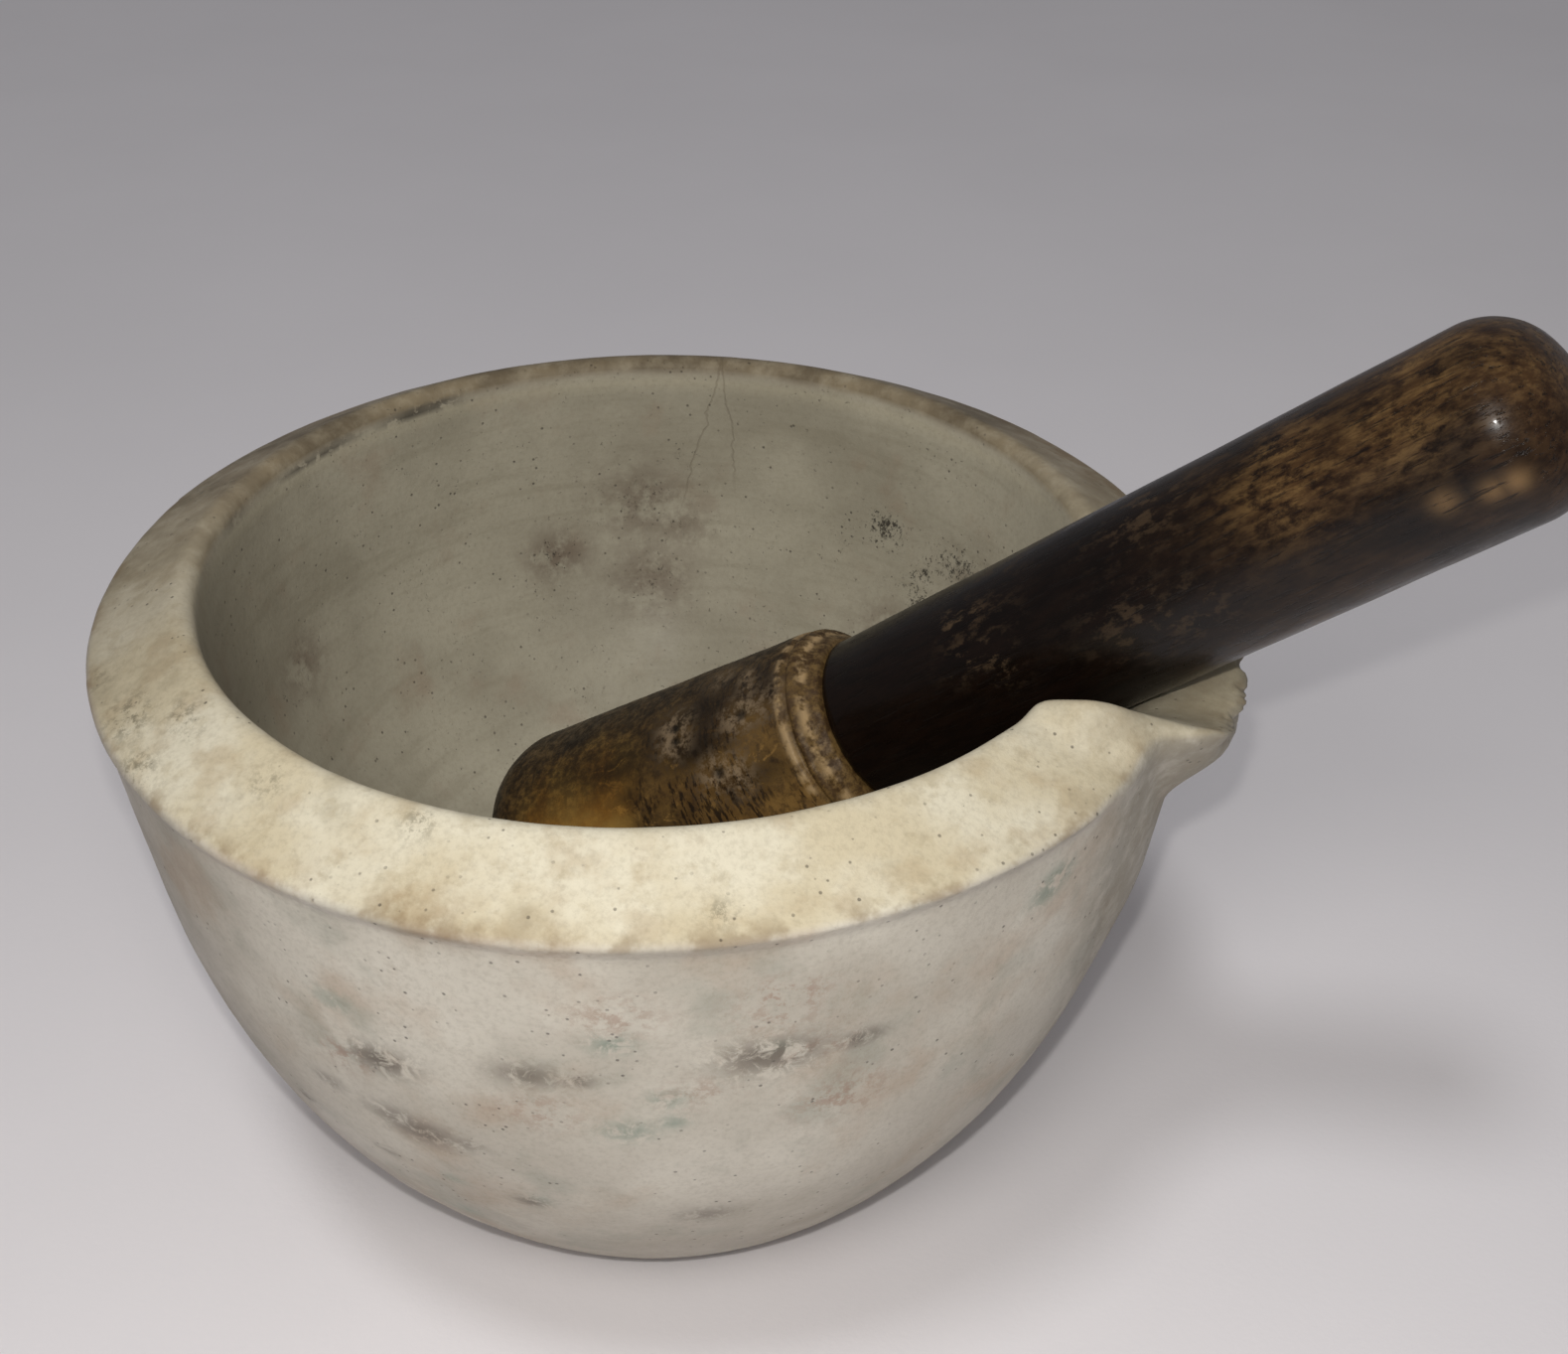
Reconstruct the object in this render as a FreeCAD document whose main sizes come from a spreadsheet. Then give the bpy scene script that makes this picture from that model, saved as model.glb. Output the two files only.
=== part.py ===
import FreeCAD, Part
import math
import os

import Sketcher

# A pharmacy mortar and pestle, in millimetres.
# The origin is the centre of the mortar's foot, +Z is up, and +X runs out through the
# pouring spout. The pestle leans in the XZ plane: its head stands on the bowl's floor
# and its handle lies in the spout.

DIMENSIONS = {
    # mortar: outside
    "foot_round": 5.0,
    "wall_radius": 144.0,
    "wall_bend_r": 94.2,
    "wall_bend_z": 82.2,
    "band_foot_r": 98.3,
    "band_foot_z": 114.8,
    "rim_r": 100.0,
    "rim_z": 118.0,
    "bevel_angle": 26.5,
    "crest_round": 2.8,
    # mortar: bowl
    "bowl_radius": 76.5,
    "bowl_floor_z": 28.7,
    "bowl_flare": 8.0,
    # spout
    "lip_root_x": 70.0,
    "channel_radius": 26.0,
    "channel_floor_z": 115.03,
    "channel_crest_x": 96.0,
    "channel_bend": 10.0,
    "channel_dip": 62.0,
    "channel_out_x": 125.0,
    "channel_in_run": 34.0,
    "ridge_top_z": 128.0,
    "ridge_bow": 42.0,
    "ridge_bow_x": 85.0,
    "ridge_round": 0.8,
    "pour_round": 2.0,
    # pestle: head
    "head_length": 88.6,
    "face_radius": 36.0,
    "face_round": 13.0,
    "barrel_low_r": 26.75,
    "barrel_top_r": 20.9,
    "barrel_top_z": 82.7,
    "groove_r": 19.9,
    "groove_z": 83.5,
    "bead_bulge": 0.8,
    "bead_top_r": 19.4,
    "bead_top_z": 86.05,
    "shoulder_r": 18.5,
    "shoulder_z": 86.45,
    "seat_r": 16.9,
    "socket_r": 12.0,
    "socket_depth": 32.3,
    # pestle: handle
    "tenon_r": 11.0,
    "tenon_length": 30.0,
    "neck_r": 16.3,
    "handle_end_r": 16.5,
    "handle_length": 134.2,
    "handle_round": 12.0,
    "handle_face": 24.0,
    # how the pestle leans
    "lean_angle": 38.8,
    "tip_x": -25.15,
    "tip_z": 41.85,
}

# Horizontal sections of the spout, from its root on the wall up to its ridges:
# height, half width at the end, where the end's corners are, and how far it reaches.
LIP_SECTIONS = [
    ("root", 66.0, 8.0, 80.0, 87.0),
    ("throat", 90.0, 14.0, 92.0, 98.3),
    ("belly", 105.0, 19.0, 98.0, 104.0),
    ("edge", 118.0, 22.0, 105.5, 108.8),
    ("top", 136.0, 21.0, 105.0, 108.3),
]
LIP_SPREAD = 7.0

doc = FreeCAD.newDocument("MortarAndPestle")
sheet = doc.addObject("Spreadsheet::Sheet", "Dims")


def put(row, alias, value):
    """Write one named dimension into the sheet."""
    sheet.set(f"A{row}", alias)
    sheet.set(f"B{row}", str(value))
    sheet.setAlias(f"B{row}", alias)


row = 1
for alias, value in DIMENSIONS.items():
    put(row, alias, value)
    row += 1
for name, height, half_width, corner_x, reach in LIP_SECTIONS:
    put(row, f"lip_{name}_z", height)
    put(row + 1, f"lip_{name}_half", half_width)
    put(row + 2, f"lip_{name}_corner", corner_x)
    put(row + 3, f"lip_{name}_reach", reach)
    row += 4
put(row, "lip_spread", LIP_SPREAD)
doc.recompute()


def size(alias):
    """Read one dimension back from the sheet."""
    return float(getattr(sheet, alias))


def vec(x, y):
    return FreeCAD.Vector(x, y, 0.0)


def origin_plane(body, role):
    for feature in body.Origin.OriginFeatures:
        if feature.Role == role:
            return feature
    raise ValueError(role)


def sketch_on(body, role, name, lift=None):
    """A sketch on one of the body's own planes, moved along its normal by a sheet value."""
    sketch = body.newObject("Sketcher::SketchObject", name)
    sketch.AttachmentSupport = [(origin_plane(body, role), "")]
    sketch.MapMode = "FlatFace"
    if lift:
        sketch.setExpression(".AttachmentOffset.Base.z", f"Dims.{lift}")
    return sketch


def line(sketch, start, end):
    return sketch.addGeometry(Part.LineSegment(vec(*start), vec(*end)), False)


def arc(sketch, centre, radius, start_angle, end_angle):
    """An arc that runs anticlockwise between two angles in degrees."""
    circle = Part.Circle(vec(*centre), FreeCAD.Vector(0, 0, 1), radius)
    segment = Part.ArcOfCircle(circle, math.radians(start_angle), math.radians(end_angle))
    return sketch.addGeometry(segment, False)


def arc_between(sketch, centre, radius, start, end):
    """An arc that runs anticlockwise from one point to another."""
    first = math.degrees(math.atan2(start[1] - centre[1], start[0] - centre[0]))
    last = math.degrees(math.atan2(end[1] - centre[1], end[0] - centre[0]))
    if last < first:
        last += 360.0
    return arc(sketch, centre, radius, first, last)


def bind(sketch, constraint, formula):
    """Add a sized constraint and tie it to a formula of sheet values."""
    index = sketch.addConstraint(constraint)
    sketch.setExpression(f"Constraints[{index}]", formula)


def hold(sketch, geometry, end, across, up):
    """Hold one end of a curve at a place given by two formulas of sheet values."""
    if across == "0":
        sketch.addConstraint(Sketcher.Constraint("PointOnObject", geometry, end, -2))
    else:
        x = sketch.getPoint(geometry, end).x
        bind(sketch, Sketcher.Constraint("DistanceX", -1, 1, geometry, end, x), across)
    if up == "0":
        sketch.addConstraint(Sketcher.Constraint("PointOnObject", geometry, end, -1))
    else:
        y = sketch.getPoint(geometry, end).y
        bind(sketch, Sketcher.Constraint("DistanceY", -1, 1, geometry, end, y), up)


def join(sketch, first, first_end, second, second_end):
    sketch.addConstraint(Sketcher.Constraint("Coincident", first, first_end, second, second_end))


def smooth(sketch, first, first_end, second, second_end):
    sketch.addConstraint(Sketcher.Constraint("Tangent", first, first_end, second, second_end))


def radius_of(sketch, geometry, formula):
    value = sketch.Geometry[geometry].Radius
    bind(sketch, Sketcher.Constraint("Radius", geometry, value), formula)


def slope_of(sketch, geometry, formula):
    """Fix a line's angle in degrees, measured from the sketch's horizontal axis."""
    segment = sketch.Geometry[geometry]
    run = segment.EndPoint - segment.StartPoint
    value = math.atan2(run.y, run.x)
    bind(sketch, Sketcher.Constraint("Angle", geometry, value), formula)


def revolve(body, sketch, kind, name):
    """Turn a sketch a full turn about its own vertical axis."""
    feature = body.newObject(kind, name)
    feature.Profile = sketch
    feature.ReferenceAxis = (sketch, ["V_Axis"])
    feature.Angle = 360.0
    return feature


def new_body(label):
    body = doc.addObject("PartDesign::Body", label)
    body.Label = label
    return body


def cut_less(body, feature, what):
    """A cut must remove material: compare the volume before and after it."""
    before = feature.BaseFeature.Shape.Volume
    doc.recompute()
    after = feature.Shape.Volume
    if not after < before - 1.0:
        raise RuntimeError(f"{what} removed nothing")


# ---------------------------------------------------------------- mortar

mortar = new_body("mortar")

rim = (size("rim_r"), size("rim_z"))
band_foot = (size("band_foot_r"), size("band_foot_z"))
bend = (size("wall_bend_r"), size("wall_bend_z"))
bevel = math.radians(size("bevel_angle"))
flare = math.radians(size("bowl_flare"))

# Centre of the wall's long arc: square to the straight upper wall, at its lower end.
rise = math.hypot(band_foot[0] - bend[0], band_foot[1] - bend[1])
wall_normal = ((bend[1] - band_foot[1]) / rise, (band_foot[0] - bend[0]) / rise)
wall_centre = (
    bend[0] + size("wall_radius") * wall_normal[0],
    bend[1] + size("wall_radius") * wall_normal[1],
)
# Foot rounding: touches the ground plane and the wall's arc from inside.
foot_gap = size("wall_radius") - size("foot_round")
foot_centre = (
    wall_centre[0] + math.sqrt(foot_gap**2 - (wall_centre[1] - size("foot_round")) ** 2),
    size("foot_round"),
)
foot_top = (
    wall_centre[0] + (foot_centre[0] - wall_centre[0]) * size("wall_radius") / foot_gap,
    wall_centre[1] + (foot_centre[1] - wall_centre[1]) * size("wall_radius") / foot_gap,
)
# Bowl: a spherical floor that runs into a slightly flared wall.
bowl_centre = (0.0, size("bowl_floor_z") + size("bowl_radius"))
bowl_edge = (
    size("bowl_radius") * math.cos(flare),
    bowl_centre[1] - size("bowl_radius") * math.sin(flare),
)
# Crest: touches the flared wall and the bevelled band.
round_r = size("crest_round")
wall_point = (bowl_edge[0] + round_r * math.cos(flare), bowl_edge[1] - round_r * math.sin(flare))
band_point = (rim[0] - round_r * math.sin(bevel), rim[1] - round_r * math.cos(bevel))
across_gap = band_point[0] - wall_point[0]
up_gap = band_point[1] - wall_point[1]
climb = (across_gap * math.sin(bevel) + up_gap * math.cos(bevel)) / math.cos(flare - bevel)
crest_centre = (
    wall_point[0] + climb * math.sin(flare),
    wall_point[1] + climb * math.cos(flare),
)
crest_in = (
    crest_centre[0] - round_r * math.cos(flare),
    crest_centre[1] + round_r * math.sin(flare),
)
crest_out = (
    crest_centre[0] + round_r * math.sin(bevel),
    crest_centre[1] + round_r * math.cos(bevel),
)

section = sketch_on(mortar, "XZ_Plane", "BowlSection")
ground = line(section, (0, 0), (foot_centre[0], 0))
foot_arc = arc_between(section, foot_centre, size("foot_round"), (foot_centre[0], 0), foot_top)
wall_arc = arc_between(section, wall_centre, size("wall_radius"), foot_top, bend)
upper_wall = line(section, bend, band_foot)
undercut = line(section, band_foot, rim)
band = line(section, rim, crest_out)
crest = arc_between(section, crest_centre, round_r, crest_out, crest_in)
inner_wall = line(section, bowl_edge, crest_in)
bowl_arc = arc_between(section, bowl_centre, size("bowl_radius"), (0, size("bowl_floor_z")), bowl_edge)
axis_line = line(section, (0, size("bowl_floor_z")), (0, 0))

hold(section, ground, 1, "0", "0")
hold(section, bowl_arc, 1, "0", "Dims.bowl_floor_z")
section.addConstraint(Sketcher.Constraint("PointOnObject", bowl_arc, 3, -2))
section.addConstraint(Sketcher.Constraint("Horizontal", ground))
smooth(section, ground, 2, foot_arc, 1)
smooth(section, foot_arc, 2, wall_arc, 1)
smooth(section, wall_arc, 2, upper_wall, 1)
join(section, upper_wall, 2, undercut, 1)
join(section, undercut, 2, band, 1)
smooth(section, band, 2, crest, 1)
smooth(section, crest, 2, inner_wall, 2)
smooth(section, inner_wall, 1, bowl_arc, 2)
join(section, bowl_arc, 1, axis_line, 1)
join(section, axis_line, 2, ground, 1)
hold(section, upper_wall, 1, "Dims.wall_bend_r", "Dims.wall_bend_z")
hold(section, upper_wall, 2, "Dims.band_foot_r", "Dims.band_foot_z")
hold(section, band, 1, "Dims.rim_r", "Dims.rim_z")
radius_of(section, foot_arc, "Dims.foot_round")
radius_of(section, wall_arc, "Dims.wall_radius")
radius_of(section, crest, "Dims.crest_round")
radius_of(section, bowl_arc, "Dims.bowl_radius")
slope_of(section, band, "180 - Dims.bevel_angle")
slope_of(section, inner_wall, "90 - Dims.bowl_flare")
revolve(mortar, section, "PartDesign::Revolution", "Bowl")
doc.recompute()

# Spout: five level sections, each with splayed sides and a bowed end.
lip_sketches = []
for name, height, half_width, corner_x, reach in LIP_SECTIONS:
    level = sketch_on(mortar, "XY_Plane", f"Lip_{name}", lift=f"lip_{name}_z")
    root_half = half_width + LIP_SPREAD
    bow = reach - corner_x
    bow_radius = (half_width**2 + bow**2) / (2 * bow)
    root = line(level, (size("lip_root_x"), root_half), (size("lip_root_x"), -root_half))
    near = line(level, (size("lip_root_x"), -root_half), (corner_x, -half_width))
    end = arc_between(
        level, (reach - bow_radius, 0), bow_radius, (corner_x, -half_width), (corner_x, half_width)
    )
    far = line(level, (corner_x, half_width), (size("lip_root_x"), root_half))
    join(level, root, 2, near, 1)
    join(level, near, 2, end, 1)
    join(level, end, 2, far, 1)
    join(level, far, 2, root, 1)
    level.addConstraint(Sketcher.Constraint("Symmetric", root, 1, root, 2, -1))
    level.addConstraint(Sketcher.Constraint("Symmetric", end, 1, end, 2, -1))
    hold(level, root, 1, "Dims.lip_root_x", f"Dims.lip_{name}_half + Dims.lip_spread")
    hold(level, end, 2, f"Dims.lip_{name}_corner", f"Dims.lip_{name}_half")
    bow_formula = f"(Dims.lip_{name}_reach - Dims.lip_{name}_corner)"
    radius_of(level, end, f"(Dims.lip_{name}_half ^ 2 + {bow_formula} ^ 2) / (2 * {bow_formula})")
    lip_sketches.append(level)
lip = mortar.newObject("PartDesign::AdditiveLoft", "Lip")
lip.Profile = lip_sketches[0]
lip.Sections = lip_sketches[1:]
doc.recompute()

# The ridges on both sides of the spout are bowed along their length and fall to its end.
ridge_centre = (size("ridge_bow_x"), size("ridge_top_z") - size("ridge_bow"))
trim_start = size("lip_root_x") + 2.5
trim_end = size("lip_edge_reach") + 8.0
trim_top = size("ridge_top_z") + 12.0


def ridge_at(x):
    """Height of the ridges' bowed top at a distance along the spout."""
    return ridge_centre[1] + math.sqrt(size("ridge_bow") ** 2 - (x - ridge_centre[0]) ** 2)


over_ridges = sketch_on(mortar, "XZ_Plane", "OverRidges")
bow_left = (trim_start, ridge_at(trim_start))
bow_right = (trim_end, ridge_at(trim_end))
bowed = arc_between(over_ridges, ridge_centre, size("ridge_bow"), bow_right, bow_left)
left_side = line(over_ridges, bow_left, (trim_start, trim_top))
lid = line(over_ridges, (trim_start, trim_top), (trim_end, trim_top))
right_side = line(over_ridges, (trim_end, trim_top), bow_right)
join(over_ridges, bowed, 2, left_side, 1)
join(over_ridges, left_side, 2, lid, 1)
join(over_ridges, lid, 2, right_side, 1)
join(over_ridges, right_side, 2, bowed, 1)
hold(over_ridges, bowed, 3, "Dims.ridge_bow_x", "Dims.ridge_top_z - Dims.ridge_bow")
radius_of(over_ridges, bowed, "Dims.ridge_bow")
over_ridges.addConstraint(Sketcher.Constraint("Vertical", left_side))
over_ridges.addConstraint(Sketcher.Constraint("Vertical", right_side))
hold(over_ridges, lid, 1, "Dims.lip_root_x + 2.5", "Dims.ridge_top_z + 12")
hold(over_ridges, lid, 2, "Dims.lip_edge_reach + 8", "Dims.ridge_top_z + 12")
ridge_trim = mortar.newObject("PartDesign::Pocket", "RidgeTrim")
ridge_trim.Profile = over_ridges
ridge_trim.Type = 1
ridge_trim.Midplane = True
cut_less(mortar, ridge_trim, "The ridge trim")

# The spout's root is cleared out of the bowl: the same floor and flared wall, carried on up.
clear = sketch_on(mortar, "XZ_Plane", "BowlClear")
clear_top = size("ridge_top_z") + 12.0
clear_r = bowl_edge[0] + (clear_top - bowl_edge[1]) * math.tan(flare)
clear_floor = arc_between(clear, bowl_centre, size("bowl_radius"), (0, size("bowl_floor_z")), bowl_edge)
clear_wall = line(clear, bowl_edge, (clear_r, clear_top))
clear_lid = line(clear, (clear_r, clear_top), (0, clear_top))
clear_axis = line(clear, (0, clear_top), (0, size("bowl_floor_z")))
hold(clear, clear_floor, 1, "0", "Dims.bowl_floor_z")
clear.addConstraint(Sketcher.Constraint("PointOnObject", clear_floor, 3, -2))
smooth(clear, clear_floor, 2, clear_wall, 1)
join(clear, clear_wall, 2, clear_lid, 1)
join(clear, clear_lid, 2, clear_axis, 1)
join(clear, clear_axis, 2, clear_floor, 1)
radius_of(clear, clear_floor, "Dims.bowl_radius")
slope_of(clear, clear_wall, "90 - Dims.bowl_flare")
clear.addConstraint(Sketcher.Constraint("Horizontal", clear_lid))
hold(clear, clear_lid, 2, "0", "Dims.ridge_top_z + 12")
bowl_clear = revolve(mortar, clear, "PartDesign::Groove", "BowlThroughLip")
cut_less(mortar, bowl_clear, "The bowl's clearance")

# Pouring channel: a round section swept from outside, level over the lip, then over a bend
# and down the bowl's wall.
centre_z = size("channel_floor_z") + size("channel_radius")
turn_radius = size("channel_bend") + size("channel_radius")
turn_centre = (size("channel_crest_x"), size("channel_floor_z") - size("channel_bend"))
dip = math.radians(size("channel_dip"))
turn_end = (
    turn_centre[0] - turn_radius * math.sin(dip),
    turn_centre[1] + turn_radius * math.cos(dip),
)
run_end = (
    turn_end[0] - size("channel_in_run") * math.cos(dip),
    turn_end[1] - size("channel_in_run") * math.sin(dip),
)
route = sketch_on(mortar, "XZ_Plane", "ChannelRoute")
level_run = line(route, (size("channel_out_x"), centre_z), (size("channel_crest_x"), centre_z))
turn = arc_between(route, turn_centre, turn_radius, (size("channel_crest_x"), centre_z), turn_end)
down_run = line(route, turn_end, run_end)
smooth(route, level_run, 2, turn, 1)
smooth(route, turn, 2, down_run, 1)
hold(route, level_run, 1, "Dims.channel_out_x", "Dims.channel_floor_z + Dims.channel_radius")
hold(route, level_run, 2, "Dims.channel_crest_x", "Dims.channel_floor_z + Dims.channel_radius")
radius_of(route, turn, "Dims.channel_bend + Dims.channel_radius")
slope_of(route, down_run, "Dims.channel_dip - 180")
bind(route, Sketcher.Constraint("Distance", down_run, size("channel_in_run")), "Dims.channel_in_run")
tube = sketch_on(mortar, "YZ_Plane", "ChannelSection", lift="channel_out_x")
ring = tube.addGeometry(
    Part.Circle(vec(0, centre_z), FreeCAD.Vector(0, 0, 1), size("channel_radius")), False
)
hold(tube, ring, 3, "0", "Dims.channel_floor_z + Dims.channel_radius")
radius_of(tube, ring, "Dims.channel_radius")
channel = mortar.newObject("PartDesign::SubtractivePipe", "Channel")
channel.Profile = tube
channel.Spine = route
cut_less(mortar, channel, "The pouring channel")

# The spout's edges are softened: first the outer edge of each ridge, then the pouring edge.


def spout_edges(shape, wanted):
    """Names of the edges beyond the crest whose middle point and length pass a test."""
    names = []
    for number, edge in enumerate(shape.Edges, start=1):
        middle = edge.valueAt((edge.FirstParameter + edge.LastParameter) / 2)
        if middle.x > size("ridge_bow_x") and wanted(middle, edge.Length):
            names.append(f"Edge{number}")
    return names


def soften(base, edges, expected, alias, name):
    """Round the named edges of the feature before, by a radius from the sheet."""
    if len(edges) != expected:
        raise RuntimeError(f"{name}: {len(edges)} edges, not {expected}")
    rounding = mortar.newObject("PartDesign::Fillet", name)
    rounding.Base = (base, edges)
    rounding.setExpression("Radius", f"Dims.{alias}")
    doc.recompute()
    return rounding


ridge_span = size("lip_top_corner") - size("ridge_bow_x")
ridges = spout_edges(
    channel.Shape,
    lambda middle, length: abs(middle.y) > size("lip_top_half")
    and middle.z > size("rim_z") + 5.0
    and length > 1.3 * ridge_span,
)
ridge_rounding = soften(channel, ridges, 2, "ridge_round", "RidgeRounding")
pouring = spout_edges(
    ridge_rounding.Shape,
    lambda middle, length: abs(middle.y) < 1.0 and middle.x > size("lip_top_corner"),
)
soften(ridge_rounding, pouring, 1, "pour_round", "PouringRounding")

# ---------------------------------------------------------------- pestle head

head = new_body("pestle_head")
face_gap = size("face_radius") - size("face_round")
# The rounded corner touches the grinding face from inside and the tapered barrel.
corner = (size("barrel_low_r") - size("face_round"), 0.0)
corner = (corner[0], size("face_radius") - math.sqrt(face_gap**2 - corner[0] ** 2))
barrel_foot = (size("barrel_low_r"), corner[1])
corner_scale = size("face_radius") / face_gap
face_edge = (
    corner[0] * corner_scale,
    size("face_radius") + (corner[1] - size("face_radius")) * corner_scale,
)
head_section = sketch_on(head, "XZ_Plane", "HeadSection")
face = arc_between(head_section, (0, size("face_radius")), size("face_radius"), (0, 0), face_edge)
corner_arc = arc_between(head_section, corner, size("face_round"), face_edge, barrel_foot)
outline = [
    barrel_foot,
    (size("barrel_top_r"), size("barrel_top_z")),
    (size("groove_r"), size("groove_z")),
]
barrel = line(head_section, outline[0], outline[1])
groove = line(head_section, outline[1], outline[2])
bead_top = (size("bead_top_r"), size("bead_top_z"))
chord = math.hypot(bead_top[0] - outline[2][0], bead_top[1] - outline[2][1])
bead_radius = (chord**2 / 4 + size("bead_bulge") ** 2) / (2 * size("bead_bulge"))
bead_mid = ((bead_top[0] + outline[2][0]) / 2, (bead_top[1] + outline[2][1]) / 2)
bead_out = ((bead_top[1] - outline[2][1]) / chord, (outline[2][0] - bead_top[0]) / chord)
bead_back = bead_radius - size("bead_bulge")
bead_centre = (bead_mid[0] - bead_out[0] * bead_back, bead_mid[1] - bead_out[1] * bead_back)
bead = arc_between(head_section, bead_centre, bead_radius, outline[2], bead_top)
step = line(head_section, bead_top, (size("shoulder_r"), size("shoulder_z")))
shoulder = line(
    head_section, (size("shoulder_r"), size("shoulder_z")), (size("seat_r"), size("head_length"))
)
seat = line(
    head_section, (size("seat_r"), size("head_length")), (size("socket_r"), size("head_length"))
)
socket_floor_z = size("head_length") - size("socket_depth")
socket_wall = line(
    head_section, (size("socket_r"), size("head_length")), (size("socket_r"), socket_floor_z)
)
socket_floor = line(head_section, (size("socket_r"), socket_floor_z), (0, socket_floor_z))
head_axis = line(head_section, (0, socket_floor_z), (0, 0))
hold(head_section, face, 1, "0", "0")
hold(head_section, face, 3, "0", "Dims.face_radius")
smooth(head_section, face, 2, corner_arc, 1)
join(head_section, corner_arc, 2, barrel, 1)
join(head_section, barrel, 2, groove, 1)
join(head_section, groove, 2, bead, 1)
join(head_section, bead, 2, step, 1)
join(head_section, step, 2, shoulder, 1)
join(head_section, shoulder, 2, seat, 1)
join(head_section, seat, 2, socket_wall, 1)
join(head_section, socket_wall, 2, socket_floor, 1)
join(head_section, socket_floor, 2, head_axis, 1)
join(head_section, head_axis, 2, face, 1)
radius_of(head_section, corner_arc, "Dims.face_round")
hold(head_section, barrel, 1, "Dims.barrel_low_r",
     "Dims.face_radius - sqrt((Dims.face_radius - Dims.face_round) ^ 2"
     " - (Dims.barrel_low_r - Dims.face_round) ^ 2)")
hold(head_section, barrel, 2, "Dims.barrel_top_r", "Dims.barrel_top_z")
hold(head_section, groove, 2, "Dims.groove_r", "Dims.groove_z")
hold(head_section, bead, 2, "Dims.bead_top_r", "Dims.bead_top_z")
radius_of(head_section, bead,
          "(((Dims.bead_top_r - Dims.groove_r) ^ 2 + (Dims.bead_top_z - Dims.groove_z) ^ 2) / 4"
          " + Dims.bead_bulge ^ 2) / (2 * Dims.bead_bulge)")
hold(head_section, shoulder, 1, "Dims.shoulder_r", "Dims.shoulder_z")
hold(head_section, shoulder, 2, "Dims.seat_r", "Dims.head_length")
hold(head_section, socket_wall, 1, "Dims.socket_r", "Dims.head_length")
hold(head_section, socket_wall, 2, "Dims.socket_r", "Dims.head_length - Dims.socket_depth")
hold(head_section, head_axis, 1, "0", "Dims.head_length - Dims.socket_depth")
revolve(head, head_section, "PartDesign::Revolution", "Head")

# ---------------------------------------------------------------- pestle handle

handle = new_body("pestle_handle")
tenon_z = size("head_length") - size("tenon_length")
end_z = size("head_length") + size("handle_length")
end_gap = size("handle_face") - size("handle_round")
end_corner_r = size("handle_end_r") - size("handle_round")
end_corner = (end_corner_r, end_z - size("handle_face") + math.sqrt(end_gap**2 - end_corner_r**2))
end_scale = size("handle_face") / end_gap
end_edge = (
    end_corner[0] * end_scale,
    end_z - size("handle_face") + (end_corner[1] - end_z + size("handle_face")) * end_scale,
)
handle_section = sketch_on(handle, "XZ_Plane", "HandleSection")
tenon_end = line(handle_section, (0, tenon_z), (size("tenon_r"), tenon_z))
tenon_side = line(
    handle_section, (size("tenon_r"), tenon_z), (size("tenon_r"), size("head_length"))
)
neck_face = line(
    handle_section, (size("tenon_r"), size("head_length")), (size("neck_r"), size("head_length"))
)
grip = line(
    handle_section, (size("neck_r"), size("head_length")), (size("handle_end_r"), end_corner[1])
)
end_round = arc_between(
    handle_section, end_corner, size("handle_round"), (size("handle_end_r"), end_corner[1]), end_edge
)
end_face = arc_between(
    handle_section, (0, end_z - size("handle_face")), size("handle_face"), end_edge, (0, end_z)
)
handle_axis = line(handle_section, (0, end_z), (0, tenon_z))
join(handle_section, tenon_end, 2, tenon_side, 1)
join(handle_section, tenon_side, 2, neck_face, 1)
join(handle_section, neck_face, 2, grip, 1)
join(handle_section, grip, 2, end_round, 1)
smooth(handle_section, end_round, 2, end_face, 1)
join(handle_section, end_face, 2, handle_axis, 1)
join(handle_section, handle_axis, 2, tenon_end, 1)
hold(handle_section, tenon_end, 1, "0", "Dims.head_length - Dims.tenon_length")
hold(handle_section, tenon_side, 1, "Dims.tenon_r", "Dims.head_length - Dims.tenon_length")
hold(handle_section, tenon_side, 2, "Dims.tenon_r", "Dims.head_length")
hold(handle_section, grip, 1, "Dims.neck_r", "Dims.head_length")
hold(handle_section, end_face, 2, "0", "Dims.head_length + Dims.handle_length")
hold(handle_section, end_face, 3, "0",
     "Dims.head_length + Dims.handle_length - Dims.handle_face")
radius_of(handle_section, end_round, "Dims.handle_round")
hold(handle_section, grip, 2, "Dims.handle_end_r",
     "Dims.head_length + Dims.handle_length - Dims.handle_face"
     " + sqrt((Dims.handle_face - Dims.handle_round) ^ 2"
     " - (Dims.handle_end_r - Dims.handle_round) ^ 2)")
revolve(handle, handle_section, "PartDesign::Revolution", "Handle")

# ---------------------------------------------------------------- cement bed

cement = new_body("handle_cement")
cement_section = sketch_on(cement, "XZ_Plane", "CementSection")
cup = [
    (0.0, socket_floor_z, "0", "Dims.head_length - Dims.socket_depth"),
    (size("socket_r"), socket_floor_z, "Dims.socket_r", "Dims.head_length - Dims.socket_depth"),
    (size("socket_r"), size("head_length"), "Dims.socket_r", "Dims.head_length"),
    (size("tenon_r"), size("head_length"), "Dims.tenon_r", "Dims.head_length"),
    (size("tenon_r"), tenon_z, "Dims.tenon_r", "Dims.head_length - Dims.tenon_length"),
    (0.0, tenon_z, "0", "Dims.head_length - Dims.tenon_length"),
]
sides = []
for i in range(len(cup)):
    following = cup[(i + 1) % len(cup)]
    sides.append(line(cement_section, cup[i][:2], following[:2]))
for i in range(len(cup)):
    join(cement_section, sides[i], 2, sides[(i + 1) % len(cup)], 1)
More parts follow.
